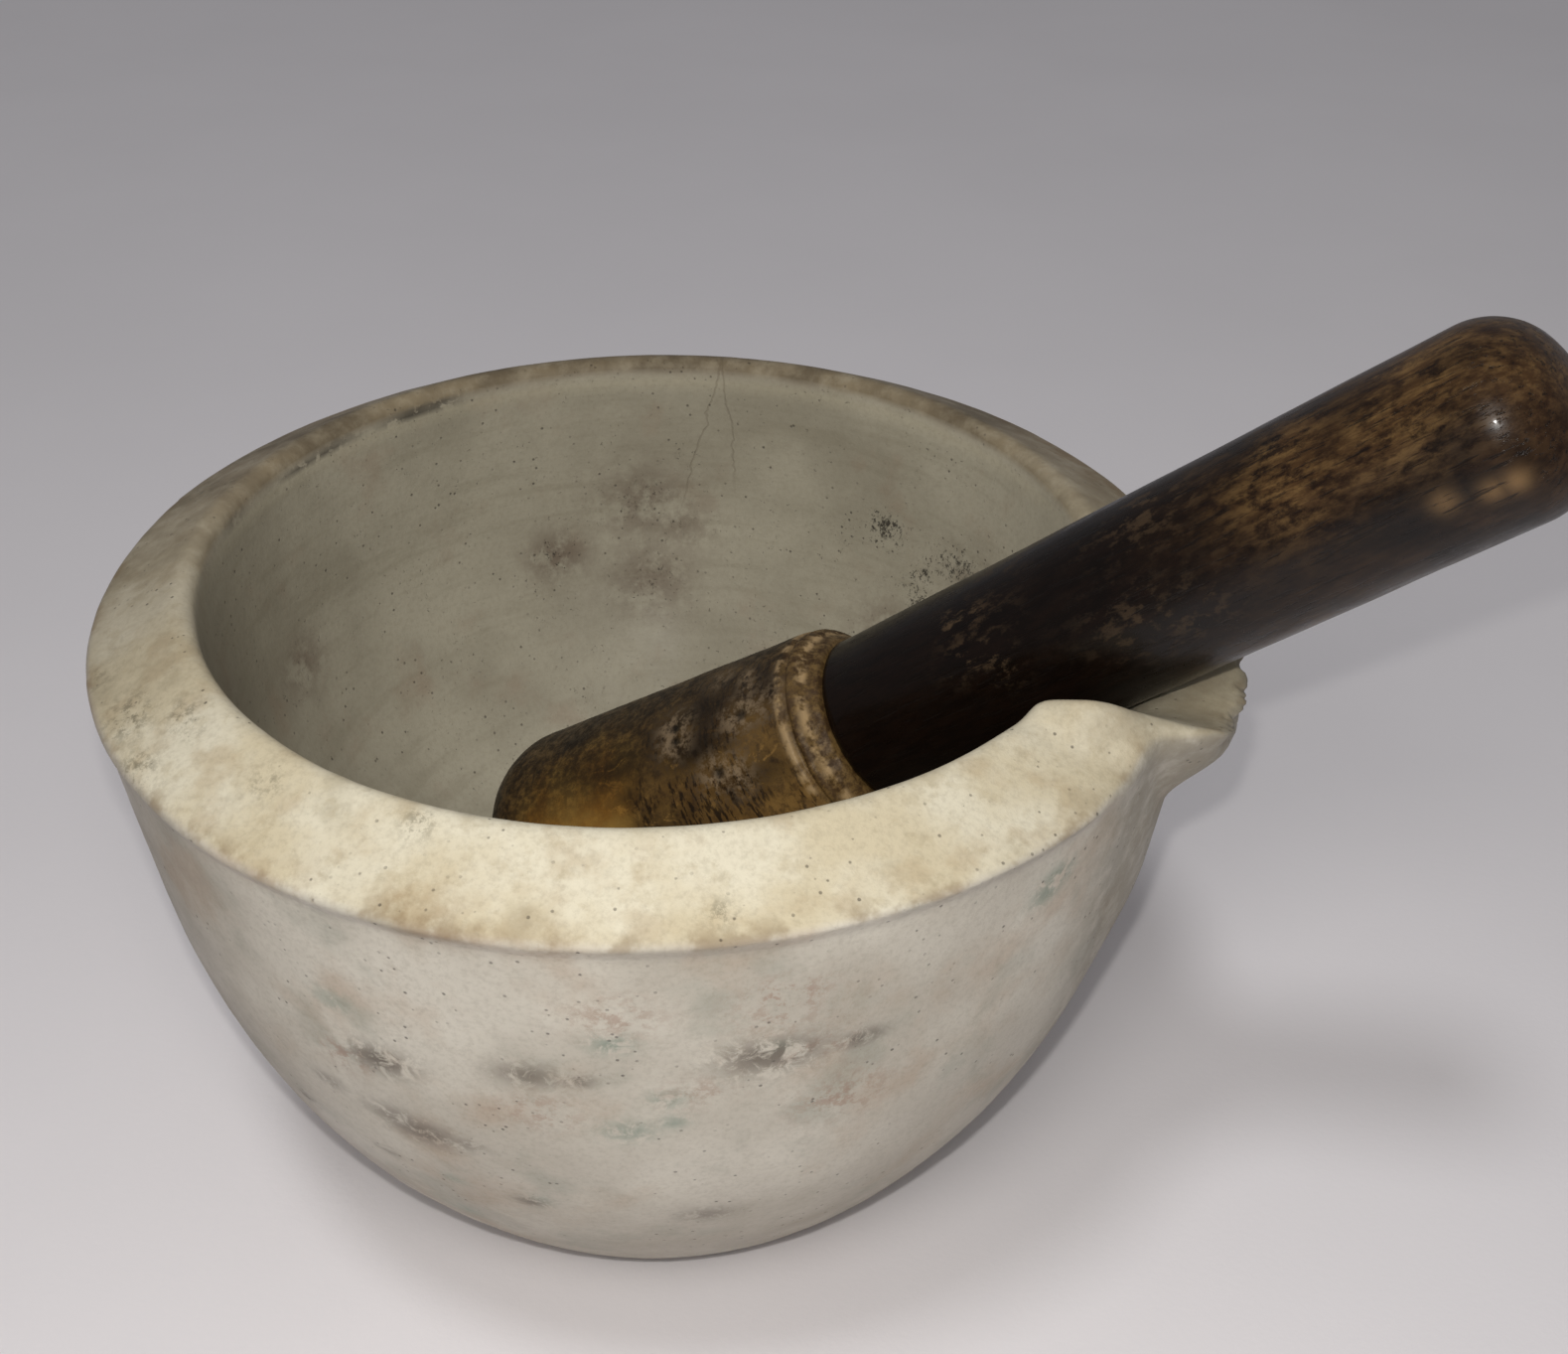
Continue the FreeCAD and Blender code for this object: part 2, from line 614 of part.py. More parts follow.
for i in range(len(cup)):
    hold(cement_section, sides[i], 1, cup[i][2], cup[i][3])
revolve(cement, cement_section, "PartDesign::Revolution", "Cement")

# The three pieces of the pestle share one lean: their own axis tips from +Z towards +X.
for piece in (head, handle, cement):
    piece.Placement = FreeCAD.Placement(
        FreeCAD.Vector(size("tip_x"), 0, size("tip_z")),
        FreeCAD.Rotation(FreeCAD.Vector(0, 1, 0), 90.0 - size("lean_angle")),
    )
doc.recompute()

for item in doc.Objects:
    if "Invalid" in item.State or "Error" in item.State:
        raise RuntimeError(f"{item.Name} failed: {item.State}")
pieces = (mortar, head, handle, cement)
for piece in pieces:
    if piece.Shape.isNull() or not piece.Shape.isValid():
        raise RuntimeError(f"{piece.Label} has no valid shape")
    if len(piece.Shape.Solids) != 1:
        raise RuntimeError(f"{piece.Label} is not one solid")

os.makedirs("parts", exist_ok=True)
for piece in pieces:
    piece.Shape.exportStep(f"parts/{piece.Label}.step")
    print(f"{piece.Label}: {piece.Shape.Volume / 1000.0:.1f} cm3, box {piece.Shape.BoundBox}")
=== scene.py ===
"""Looks for a stoneware mortar with its wood-handled pestle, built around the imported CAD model.

Shapes are worked out in millimetres, in the CAD model's own frame, and become metres as each mesh is made.
The mortar, the pestle's head and its handle each stand for the CAD node of the same name.
"""

import math
import random

import bpy
import numpy as np
from mathutils import Matrix, Vector, noise


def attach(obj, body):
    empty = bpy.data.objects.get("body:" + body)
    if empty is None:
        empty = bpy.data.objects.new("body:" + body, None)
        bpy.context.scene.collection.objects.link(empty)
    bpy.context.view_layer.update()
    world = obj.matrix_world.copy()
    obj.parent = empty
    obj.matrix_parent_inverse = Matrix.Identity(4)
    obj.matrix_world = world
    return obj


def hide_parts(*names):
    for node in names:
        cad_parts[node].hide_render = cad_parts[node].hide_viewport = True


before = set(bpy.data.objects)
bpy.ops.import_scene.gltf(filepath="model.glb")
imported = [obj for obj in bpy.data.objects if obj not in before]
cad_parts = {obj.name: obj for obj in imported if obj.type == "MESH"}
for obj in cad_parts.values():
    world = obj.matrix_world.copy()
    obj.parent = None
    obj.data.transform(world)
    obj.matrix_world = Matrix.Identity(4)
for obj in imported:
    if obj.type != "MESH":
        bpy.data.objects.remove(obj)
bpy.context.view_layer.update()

MM = 0.001

# ---------------------------------------------------------------- sizes, in millimetres and degrees

FOOT_ROUND = 5.0
WALL_RADIUS = 144.0
WALL_BEND = (94.2, 82.2)
BAND_FOOT = (98.3, 114.8)
RIM = (100.0, 118.0)
BEVEL = math.radians(26.5)
CREST_ROUND = 2.8
BOWL_RADIUS = 76.5
BOWL_FLOOR = 28.7
BOWL_FLARE = math.radians(8.0)

SPOUT_REACH = 8.6
SPOUT_KEEL = 1.5
SPOUT_ROUND = 12.5
RIDGE_TOP = 128.0
RIDGE_BOW = 42.0
RIDGE_BOW_X = 85.0
RIDGE_END = (108.5, 20.5)
RIDGE_SPLAY = 0.225
RIDGE_SLOPE = 1.3
RIDGE_DROP = 4.0
CHANNEL_RADIUS = 26.0
CHANNEL_FLOOR = 115.03
CHANNEL_CREST_X = 96.0
CHANNEL_BEND = 10.0
CHANNEL_DIP = math.radians(62.0)
CHANNEL_RUN = 34.0
# Bites in the spout's broken end: place across it, half width, share of the depth.
BITES = ((-4.5, 2.2, 1.0), (11.0, 3.0, 0.7))
CHIP_COUNT = 14
CHIP_TILT = math.radians(34)

FACE_RADIUS = 36.0
FACE_ROUND = 13.0
BARREL_LOW = 26.75
BARREL_TOP = (20.9, 82.7)
GROOVE = (19.9, 83.5)
BEAD_TOP = (19.4, 86.05)
BEAD_BULGE = 0.78
BEAD_FOOT = (20.52, 84.0)
BEAD_EDGE = 0.3
SHOULDER = (18.5, 86.45)
SEAT = (16.9, 88.6)
SOCKET = (12.0, 56.3)
TENON = (11.0, 58.6)
NECK_RADIUS = 16.3
HANDLE_RADIUS = 16.5
HANDLE_TOP = 222.8
HANDLE_ROUND = 12.0
HANDLE_FACE = 24.0
LEAN = math.radians(38.8)
TIP = (-25.15, 0.0, 41.85)

# Directions in degrees: the side that the camera sees, and its opposite, round the mortar and the pestle.
FRONT, BEHIND = -68.0, 112.0
FACING, AWAY = -125.0, 55.0
AGED_SIDE = 115.0
# The side that the painted shade on the mortar's outside leaves lightest.
LIT_SIDE = -56.0
# Rough radii, which turn an angle into a length along the surface.
OUTER = 95.0
INNER = 76.0
HEAD = 24.0


# ---------------------------------------------------------------- shape helpers


def line(start, end, step):
    """Points along a straight run, without its first one."""
    count = max(1, round(math.dist(start, end) / step))
    share = np.linspace(0, 1, count + 1)[1:, None]
    return np.array(start) * (1 - share) + np.array(end) * share


def arc(centre, start, end, step):
    """Points along the shorter arc between two points round a centre, without the first one."""
    radius = math.dist(centre, start)
    first = math.atan2(start[1] - centre[1], start[0] - centre[0])
    turn = math.atan2(end[1] - centre[1], end[0] - centre[0]) - first
    turn = (turn + math.pi) % (2 * math.pi) - math.pi
    count = max(3, round(abs(turn) * radius / step))
    angle = first + turn * np.linspace(0, 1, count + 1)[1:]
    return np.stack([centre[0] + radius * np.cos(angle), centre[1] + radius * np.sin(angle)], 1)


def smooth_step(value, low, high):
    """0 at low and beyond, 1 at high and beyond, smooth in between."""
    share = np.clip((value - low) / (high - low), 0, 1)
    return share * share * (3 - 2 * share)


def soft_min(a, b, width):
    """The lower of two heights, with their crossing rounded over a width."""
    share = np.clip(0.5 + 0.5 * (b - a) / width, 0, 1)
    return b * (1 - share) + a * share - width * share * (1 - share)


def soft_max(a, b, width):
    return -soft_min(-a, -b, width)


def rough(points, size, octaves=3, shift=0.0):
    """Smooth random heights, about -1 to 1, one for each point; size is their spacing."""
    total = np.zeros(len(points))
    gain = 1.0
    for octave in range(octaves):
        scaled = points * (2**octave / size) + shift + 7.3 * octave
        total += gain * np.array([noise.noise(p) for p in scaled.tolist()])
        gain *= 0.5
    return total


def normals_of(grid):
    """Outward normals of a grid of rings, from its neighbours along and round."""
    along = np.gradient(grid, axis=0)
    round_it = np.roll(grid, -1, axis=1) - np.roll(grid, 1, axis=1)
    out = np.cross(round_it, along)
    return out / np.maximum(np.linalg.norm(out, axis=2, keepdims=True), 1e-9)


def relax(grid, weight, passes):
    """Move each point towards the middle of its four neighbours, by its own weight."""
    for _ in range(passes):
        middle = (np.roll(grid, 1, axis=1) + np.roll(grid, -1, axis=1)) / 4
        middle[1:-1] += (grid[:-2] + grid[2:]) / 4
        middle[0], middle[-1] = grid[0], grid[-1]
        grid = grid + weight[..., None] * (middle - grid)
    return grid


def dent(points, centre, radius):
    """Push points out of a ball, which leaves the hollow of a chip."""
    away = points - centre
    far = np.linalg.norm(away, axis=-1, keepdims=True)
    return np.where(far < radius, centre + away * radius / np.maximum(far, 1e-6), points)


def ring_mesh(name, grid, masks, place=None):
    """One closed skin from rings of points, with a point at each end; masks are painted on it."""
    rows, columns = grid.shape[:2]
    ends = [np.array([0.0, 0.0, grid[row, :, 2].mean()]) for row in (0, -1)]
    points = np.vstack([ends[0], grid.reshape(-1, 3), ends[1]]) * MM
    if place:
        points = points @ np.array(place.to_3x3()).T + np.array(place.translation)
    here = np.arange(columns)
    after = (here + 1) % columns
    faces = [(0, 1 + j, 1 + i) for i, j in zip(here, after)]
    for row in range(rows - 1):
        low = 1 + row * columns
        high = low + columns
        faces += zip(low + here, low + after, high + after, high + here)
    last = 1 + (rows - 1) * columns
    faces += [(last + i, last + j, len(points) - 1) for i, j in zip(here, after)]
    mesh = bpy.data.meshes.new(name)
    mesh.from_pydata(points.tolist(), [], [tuple(int(v) for v in face) for face in faces])
    mesh.shade_smooth()
    for mask, values in masks.items():
        ends = [values[0].mean(), values[-1].mean()]
        layer = mesh.attributes.new(mask, "FLOAT", "POINT")
        layer.data.foreach_set("value", np.hstack([ends[0], values.ravel(), ends[1]]).astype(np.float32))
    made = bpy.data.objects.new(name, mesh)
    bpy.context.scene.collection.objects.link(made)
    return made


def scatter(seed, count, middle, spread, size, strength=(0.5, 1.0)):
    """Marks spread at random over a region: (angle, height, half width, half height, strength).

    The region's middle and spread are (degrees, height), and size is the range of (half width, half height).
    """
    draw = random.Random(seed)
    marks = []
    for _ in range(count):
        at = draw.uniform(middle[0] - spread[0], middle[0] + spread[0])
        up = draw.uniform(middle[1] - spread[1], middle[1] + spread[1])
        scale = draw.random()
        wide, tall = (low + (high - low) * scale for low, high in size)
        marks.append((at, up, wide, tall, draw.uniform(*strength)))
    return marks


def apart(angle, side):
    """How far an angle is from a side given in degrees, either way round."""
    return np.abs((angle - math.radians(side) + math.pi) % (2 * math.pi) - math.pi)


def patches(angle, height, marks, reach):
    """Soft-edged marks at the places that scatter gives."""
    total = np.zeros(np.broadcast(angle, height).shape)
    for at, up, wide, tall, strength in marks:
        away = (apart(angle, at) * reach / wide) ** 2 + ((height - up) / tall) ** 2
        total = np.maximum(total, strength * np.exp(-away))
    return total


# ---------------------------------------------------------------- mortar shape

# The section is the CAD model's own: a wall that bends into a straight upper part, a band, a bowl.
rise = math.dist(WALL_BEND, BAND_FOOT)
wall_centre = (
    WALL_BEND[0] - WALL_RADIUS * (BAND_FOOT[1] - WALL_BEND[1]) / rise,
    WALL_BEND[1] + WALL_RADIUS * (BAND_FOOT[0] - WALL_BEND[0]) / rise,
)
foot_gap = WALL_RADIUS - FOOT_ROUND
foot_centre = (
    wall_centre[0] + math.sqrt(foot_gap**2 - (wall_centre[1] - FOOT_ROUND) ** 2),
    FOOT_ROUND,
)
foot_top = (
    wall_centre[0] + (foot_centre[0] - wall_centre[0]) * WALL_RADIUS / foot_gap,
    wall_centre[1] + (foot_centre[1] - wall_centre[1]) * WALL_RADIUS / foot_gap,
)
bowl_centre = (0.0, BOWL_FLOOR + BOWL_RADIUS)
bowl_edge = (
    BOWL_RADIUS * math.cos(BOWL_FLARE),
    bowl_centre[1] - BOWL_RADIUS * math.sin(BOWL_FLARE),
)
wall_point = (
    bowl_edge[0] + CREST_ROUND * math.cos(BOWL_FLARE),
    bowl_edge[1] - CREST_ROUND * math.sin(BOWL_FLARE),
)
band_point = (RIM[0] - CREST_ROUND * math.sin(BEVEL), RIM[1] - CREST_ROUND * math.cos(BEVEL))
climb = (
    (band_point[0] - wall_point[0]) * math.sin(BEVEL)
    + (band_point[1] - wall_point[1]) * math.cos(BEVEL)
) / math.cos(BOWL_FLARE - BEVEL)
crest_centre = (
    wall_point[0] + climb * math.sin(BOWL_FLARE),
    wall_point[1] + climb * math.cos(BOWL_FLARE),
)
crest_in = (
    crest_centre[0] - CREST_ROUND * math.cos(BOWL_FLARE),
    crest_centre[1] + CREST_ROUND * math.sin(BOWL_FLARE),
)
crest_out = (
    crest_centre[0] + CREST_ROUND * math.sin(BEVEL),
    crest_centre[1] + CREST_ROUND * math.cos(BEVEL),
)

# Columns are close together at the spout, and further apart round the rest.
FINE_HALF = math.radians(28.0)
theta = np.concatenate(
    [
        np.linspace(-FINE_HALF, FINE_HALF, 221)[:-1],
        np.linspace(FINE_HALF, 2 * math.pi - FINE_HALF, 441)[:-1],
    ]
)
signed = (theta + math.pi) % (2 * math.pi) - math.pi


def spout_swell(z):
    """How far the spout stands out of the wall at a height, for every column, as a round-bottomed lip."""
    aside = np.degrees(np.abs(signed))
    level = z - SPOUT_ROUND * np.minimum(aside / 10.0, 1.3) ** 2
    keel = SPOUT_KEEL * smooth_step(z, 58.0, 84.0) * (1 - smooth_step(aside, 3.0, 15.0))
    lip = SPOUT_REACH - SPOUT_KEEL + 0.12 * np.maximum(RIM[1] - z, 0)
    lip = lip * smooth_step(level, 94.5, 111.0) * (1 - smooth_step(aside, 10.8, 16.0))
    return keel + lip


def top_height(x, y):
    """Height of the rim before the channel is cut: the band's cone, with the spout's ridges."""
    cone = RIM[1] + (RIM[0] - np.hypot(x, y)) * math.tan(BEVEL)
    bow = np.sqrt(np.maximum(RIDGE_BOW**2 - (x - RIDGE_BOW_X) ** 2, 1.0))
    crown = np.where(x > 40, RIDGE_TOP - RIDGE_BOW + bow, 0.0)
    side = np.maximum(np.abs(y) - RIDGE_END[1] - (RIDGE_END[0] - x) * RIDGE_SPLAY, 0.0)
    fall = RIDGE_SLOPE * (np.sqrt(side**2 + 9.0) - 3.0)
    fall += RIDGE_DROP * smooth_step(np.hypot(x, y), 88.0, 100.0) * smooth_step(np.abs(y), 14.0, 22.0)
    return soft_max(cone, crown - fall, 3.0)


def channel_rise(y):
    """Height of the channel's round floor above its lowest line, at a distance to the side."""
    inside = np.minimum(np.abs(y), CHANNEL_RADIUS - 0.01)
    return CHANNEL_RADIUS - np.sqrt(CHANNEL_RADIUS**2 - inside**2)


def pour(grid):
    """Cut the pouring channel: points above its floor move onto it, square to its route."""
    x, y, z = grid[..., 0], grid[..., 1], grid[..., 2]
    pivot_z = CHANNEL_FLOOR - CHANNEL_BEND
    turn = np.arctan2(CHANNEL_CREST_X - x, z - pivot_z)
    dip = np.clip(np.where(x >= CHANNEL_CREST_X, 0.0, turn), 0.0, CHANNEL_DIP)
    out = np.stack([-np.sin(dip), np.zeros_like(dip), np.cos(dip)], -1)
    floor_x = CHANNEL_CREST_X - CHANNEL_BEND * np.sin(dip)
    floor_z = pivot_z + CHANNEL_BEND * np.cos(dip)
    above = (x - floor_x) * out[..., 0] + (z - floor_z) * out[..., 2]
    beyond = (floor_x - x) * np.cos(dip) + (floor_z - z) * np.sin(dip)
    held = 1 - smooth_step(beyond, CHANNEL_RUN - 8, CHANNEL_RUN)
    held = np.where(x > 40, held, 0.0)
    lowered = soft_min(above, channel_rise(y), 2.4) - above
    lowered = np.where(np.abs(y) < CHANNEL_RADIUS, lowered, 0.0)
    return grid + out * (lowered * held)[..., None]


def mortar_shape():
    """Rings of points from the foot's middle, up the outside, over the rim and down the bowl."""
    cos, sin = np.cos(theta), np.sin(theta)
    rim_r = RIM[0] + spout_swell(RIM[1] + 3.0)
    rim_z = top_height(rim_r * cos, rim_r * sin)
    pouring = (cos > 0.8) & (np.abs(rim_r * sin) < CHANNEL_RADIUS)
    edge_z = soft_min(rim_z, CHANNEL_FLOOR + channel_rise(rim_r * sin), 2.4)
    rim_z = np.where(pouring, edge_z, rim_z)
    foot_z = np.minimum(BAND_FOOT[1], rim_z - 2.6)

    outside = np.vstack(
        [
            line((0, 0), (foot_centre[0], 0), 5.0),
            arc(foot_centre, (foot_centre[0], 0), foot_top, 1.0),
            arc(wall_centre, foot_top, WALL_BEND, 1.5),
            line(WALL_BEND, BAND_FOOT, 1.3),
        ]
    )
    radius, height = outside[:, :1], outside[:, 1:]
    climb_share = np.clip((height - WALL_BEND[1]) / (BAND_FOOT[1] - WALL_BEND[1]), 0, 1)
    z = height + climb_share * (foot_z - BAND_FOOT[1])
    wall_r, wall_z = radius + spout_swell(z), z

    share = np.linspace(0, 1, 7)[1:, None]
    lip_r = wall_r[-1] * (1 - share) + rim_r * share
    lip_z = wall_z[-1] * (1 - share) + rim_z * share

    top = np.vstack([line(RIM, crest_out, 0.8)])
    spread = (top[:, :1] - crest_in[0]) / (RIM[0] - crest_in[0])
    top_r = top[:, :1] + spread * (rim_r - RIM[0])
    top_z = top_height(top_r * cos, top_r * sin)
    top_z[0] = np.maximum(top_z[0], rim_z)

    inner = np.vstack(
        [
            arc(crest_centre, crest_out, crest_in, 0.7),
            line(crest_in, bowl_edge, 1.3),
            arc(bowl_centre, bowl_edge, (0, BOWL_FLOOR), 2.2)[:-1],
        ]
    )
    lift = top_z[-1] - crest_out[1]
    part = smooth_step(inner[:, 1:], bowl_edge[1] + 6, crest_in[1])
    inner_z = inner[:, 1:] + lift * part
    inner_r = inner[:, :1] + lift * part * math.tan(BOWL_FLARE)

    r = np.vstack([wall_r, lip_r, top_r, inner_r])
    z = np.vstack([wall_z, lip_z, top_z, inner_z])
    rows = np.cumsum([len(wall_r), len(lip_r), len(top_r)])
    return np.stack([r * cos, r * sin, z], -1), rows


mortar_grid, (band_row, rim_row, crest_row) = mortar_shape()
mortar_grid[band_row + 1 :] = pour(mortar_grid[band_row + 1 :])
row_number = np.arange(len(mortar_grid))[:, None]
aside = np.degrees(np.abs(signed))
near_rim = np.exp(-(((row_number - rim_row) / 3.0) ** 2)) * np.ones_like(theta)
near_crest = np.exp(-(((row_number - crest_row - 3) / 5.0) ** 2))
shoulder = smooth_step(aside, 7.0, 10.0) * (1 - smooth_step(aside, 19.0, 26.0))
left = smooth_step(np.abs(np.degrees(signed) + 142), 60.0, 25.0)
mortar_grid = relax(mortar_grid, 0.6 * near_rim, 5)
mortar_grid = relax(mortar_grid, 0.7 * near_rim * left, 10)
mortar_grid = relax(mortar_grid, 0.7 * near_crest * smooth_step(aside, 14.0, 20.0), 10)
mortar_grid = relax(mortar_grid, 0.8 * np.exp(-(((row_number - rim_row) / 7.0) ** 2)) * shoulder, 30)
mortar_grid = relax(mortar_grid, 0.8 * np.exp(-(((row_number - crest_row) / 9.0) ** 2)) * shoulder, 24)

# Unevenness of the hand-finished surface, only ever inwards, so that the size stays the CAD model's.
flat = mortar_grid.reshape(-1, 3)
push = normals_of(mortar_grid).reshape(-1, 3)
uneven = 0.22 * (rough(flat, 46.0, 2) - 0.9) + 0.06 * rough(flat, 7.0, 2, shift=31.0)
uneven *= smooth_step(flat[:, 2], 0.5, 8.0)
mortar_grid = (flat + push * uneven[:, None]).reshape(mortar_grid.shape)

# The spout's end is broken: a jagged edge with two deeper bites.
flat = mortar_grid.reshape(-1, 3)
turn = np.arctan2(flat[:, 1], flat[:, 0])
at_end = smooth_step(np.hypot(flat[:, 0], flat[:, 1]), 104.5, 108.0)
at_end *= smooth_step(flat[:, 2], 108.0, 114.0)
at_end *= smooth_step(turn, -0.15, -0.05) * (1 - smooth_step(turn, 0.20, 0.25))
jag = np.abs(rough(flat * (1, 1, 0.6), 5.0, 3, shift=11.0))
bite = sum(share * np.exp(-(((flat[:, 1] - place) / half) ** 2)) for place, half, share in BITES)
flat[:, 0] -= at_end * (2.4 * jag + 1.1 * bite)
flat[:, 2] -= at_end * (0.5 * jag + 0.3 * bite)

# Chips along the rim's outer corner, all the way round except at the spout.
chips = scatter(3, CHIP_COUNT, (180, RIM[1] - 0.3), (150, 0.3), ((2.4, 4.4), (0.5, 0.9)))
for at, up, ball, depth, _ in chips:
    away = Vector((math.cos(CHIP_TILT), 0, math.sin(CHIP_TILT)))
    away.rotate(Matrix.Rotation(math.radians(at), 3, "Z"))
    corner = Vector((RIM[0] * math.cos(math.radians(at)), RIM[0] * math.sin(math.radians(at)), up))
    flat = dent(flat, np.array(corner + away * (ball - depth)), ball)
mortar_grid = flat.reshape(mortar_grid.shape)

# ---------------------------------------------------------------- mortar marks

angle = np.arctan2(mortar_grid[..., 1], mortar_grid[..., 0])
height = mortar_grid[..., 2]
on_wall = row_number <= rim_row
on_inside = row_number > crest_row
MID_WALL = 70.0
UPPER_WALL = 90.0
MID_BAND = (RIM[1] + crest_out[1]) / 2
teal = scatter(11, 11, (FRONT, MID_WALL), (40, 38), ((2, 5), (1.4, 3.0)))
teal += scatter(12, 8, (BEHIND, MID_WALL), (110, 30), ((3, 7), (2, 3)))
grey = scatter(13, 14, (FRONT - 12, MID_WALL), (34, 34), ((2, 9), (1, 4.5)), (0.6, 1.2))
grey += scatter(14, 9, (BEHIND, MID_WALL), (120, 32), ((6, 10), (3, 6)), (0.4, 0.7))
rose = scatter(15, 10, (FRONT - 8, UPPER_WALL), (26, 14), ((5, 9), (3, 6)), (0.5, 0.9))
rose += scatter(16, 7, (BEHIND, MID_WALL), (120, 26), ((8, 12), (5, 8)), (0.4, 0.7))
brown = scatter(17, 6, (FRONT - 20, RIM[1]), (14, 1.5), ((4, 8), (1.8, 3.0)))
brown += scatter(18, 8, (BEHIND, RIM[1]), (110, 1), ((8, 14), (3, 4)))
smudge = scatter(19, 22, (180, MID_BAND), (150, 3.5), ((2, 6), (1, 2.2)))
pits = scatter(20, 14, (60, 92), (13, 12), ((3, 7), (2, 6)), (0.35, 0.7))
lines = scatter(21, 10, (165, crest_in[1] - 1.0), (30, 0.5), ((4, 7), (0.6, 0.8)), (0.7, 1.0))
stains = scatter(22, 16, (180, 86), (180, 14), ((5, 12), (3, 9)), (0.4, 0.9))
aged = smooth_step(apart(angle, AGED_SIDE), 2.3, 1.0)
# Painted shade on the outside: darker away from the lit side, darker towards the foot, and darker just under
# the rim's outer corner.
painted_shade = 0.8 * smooth_step(np.degrees(apart(angle, LIT_SIDE)), 34.0, 76.0)
painted_shade = painted_shade + 0.6 * smooth_step(height, 68.0, 26.0)
painted_shade = painted_shade + 0.5 * near_rim * smooth_step(height, 119.0, 116.5)
band_mask = smooth_step(row_number, rim_row - 1.5, rim_row + 1.5)
band_mask = band_mask * (1 - smooth_step(row_number, crest_row + 6.0, crest_row + 9.0))
mortar_masks = {
    "band": band_mask * np.ones_like(angle),
    "inside": smooth_step(row_number, crest_row + 6.0, crest_row + 9.0) * np.ones_like(angle),
    "spout": smooth_step(aside, 27.0, 14.0) * np.ones_like(angle),
    # edge: a thin line just inside the crest, painted lighter as a highlight.
    "edge": np.exp(-(((row_number - crest_row - 9) / 1.2) ** 2)) * np.ones_like(angle),
    "aged": aged,
    # corner: the rim's outer corner, where a line of shade is painted.
    "corner": near_rim,
    "painted_shade": np.clip(painted_shade, 0, 1),
    "teal": patches(angle, height, teal, OUTER) * on_wall,
    "grey": patches(angle, height, grey, OUTER) * on_wall,
    "rose": patches(angle, height, rose, OUTER) * on_wall,
    "brown": patches(angle, height, brown, OUTER) * (1 - on_inside),
    "smudge": patches(angle, height, smudge, OUTER) * (1 - on_inside),
    "pits": patches(angle, height, pits, INNER) * on_inside,
    "lines": patches(angle, height, lines, INNER) * on_inside,
    "stains": patches(angle, height, stains, INNER) * on_inside,
}
mortar = ring_mesh("mortar_body", mortar_grid, mortar_masks)

# ---------------------------------------------------------------- pestle shapes

lean = Matrix.Translation(Vector(TIP) * MM) @ Matrix.Rotation(math.pi / 2 - LEAN, 4, "Y")
round_the_pestle = np.linspace(0, 2 * math.pi, 289)[:-1]


def turned(profile):
    """Rings of points from a lathe's profile."""
    radius, up = profile[:, 0][:, None], profile[:, 1][:, None]
    return np.stack(
        [
            radius * np.cos(round_the_pestle),
            radius * np.sin(round_the_pestle),
            up * np.ones_like(round_the_pestle),
        ],
        -1,
    )


face_gap = FACE_RADIUS - FACE_ROUND
corner_r = BARREL_LOW - FACE_ROUND
corner_centre = (corner_r, FACE_RADIUS - math.sqrt(face_gap**2 - corner_r**2))
face_edge = (
    corner_r * FACE_RADIUS / face_gap,
    FACE_RADIUS + (corner_centre[1] - FACE_RADIUS) * FACE_RADIUS / face_gap,
)
barrel_foot = (BARREL_LOW, corner_centre[1])
bead_middle = ((GROOVE[0] + BEAD_TOP[0]) / 2 + BEAD_BULGE, (GROOVE[1] + BEAD_TOP[1]) / 2)
bead_corner = (BEAD_TOP[0] + BEAD_EDGE, BEAD_TOP[1] - BEAD_EDGE)
head_profile = np.vstack(
    [
        arc((0, FACE_RADIUS), (0, 0), face_edge, 0.9),
        arc(corner_centre, face_edge, barrel_foot, 0.8),
        line(barrel_foot, BARREL_TOP, 0.7),
        line(BARREL_TOP, GROOVE, 0.3),
        line(GROOVE, BEAD_FOOT, 0.3),
        line(BEAD_FOOT, bead_middle, 0.4),
        line(bead_middle, bead_corner, 0.4),
        line(bead_corner, SHOULDER, 0.4),
        line(SHOULDER, SEAT, 0.4),
        line(SEAT, (SOCKET[0], SEAT[1]), 0.8),
        line((SOCKET[0], SEAT[1]), SOCKET, 2.0),
        line(SOCKET, (0, SOCKET[1]), 2.0)[:-1],
    ]
)
head_grid = turned(head_profile)
HIDDEN_RINGS = 26
seen = np.arange(len(head_profile)) < len(head_profile) - HIDDEN_RINGS
shell = seen[:, None] * np.ones_like(round_the_pestle)
head_grid = relax(head_grid, 0.35 * shell, 2)
flat = head_grid.reshape(-1, 3)
push = normals_of(head_grid).reshape(-1, 3)
worn = 0.13 * (rough(flat, 16.0, 3, shift=5.0) - 0.9) + 0.05 * rough(flat, 2.6, 2, shift=19.0)
collar = smooth_step(flat[:, 2], 81.0, 84.0)
worn -= 0.3 * collar * smooth_step(rough(flat, 5.0, 3, shift=2.0), 0.1, 0.8)
flat = flat + push * (worn * shell.ravel())[:, None]

# Small chips in the head's side, with dark bottoms.
BARREL_MIDDLE = (barrel_foot[1] + BARREL_TOP[1]) / 2
head_chips = scatter(31, 4, (FACING, BARREL_MIDDLE + 18), (30, 12), ((1.8, 2.6), (0.6, 0.8)))
for at, up, ball, depth, _ in head_chips:
    out = np.interp(up, [barrel_foot[1], BARREL_TOP[1]], [BARREL_LOW, BARREL_TOP[0]]) + ball - depth
    middle = np.array([out * math.cos(math.radians(at)), out * math.sin(math.radians(at)), up])
    flat = dent(flat, middle, ball)
head_grid = flat.reshape(head_grid.shape)

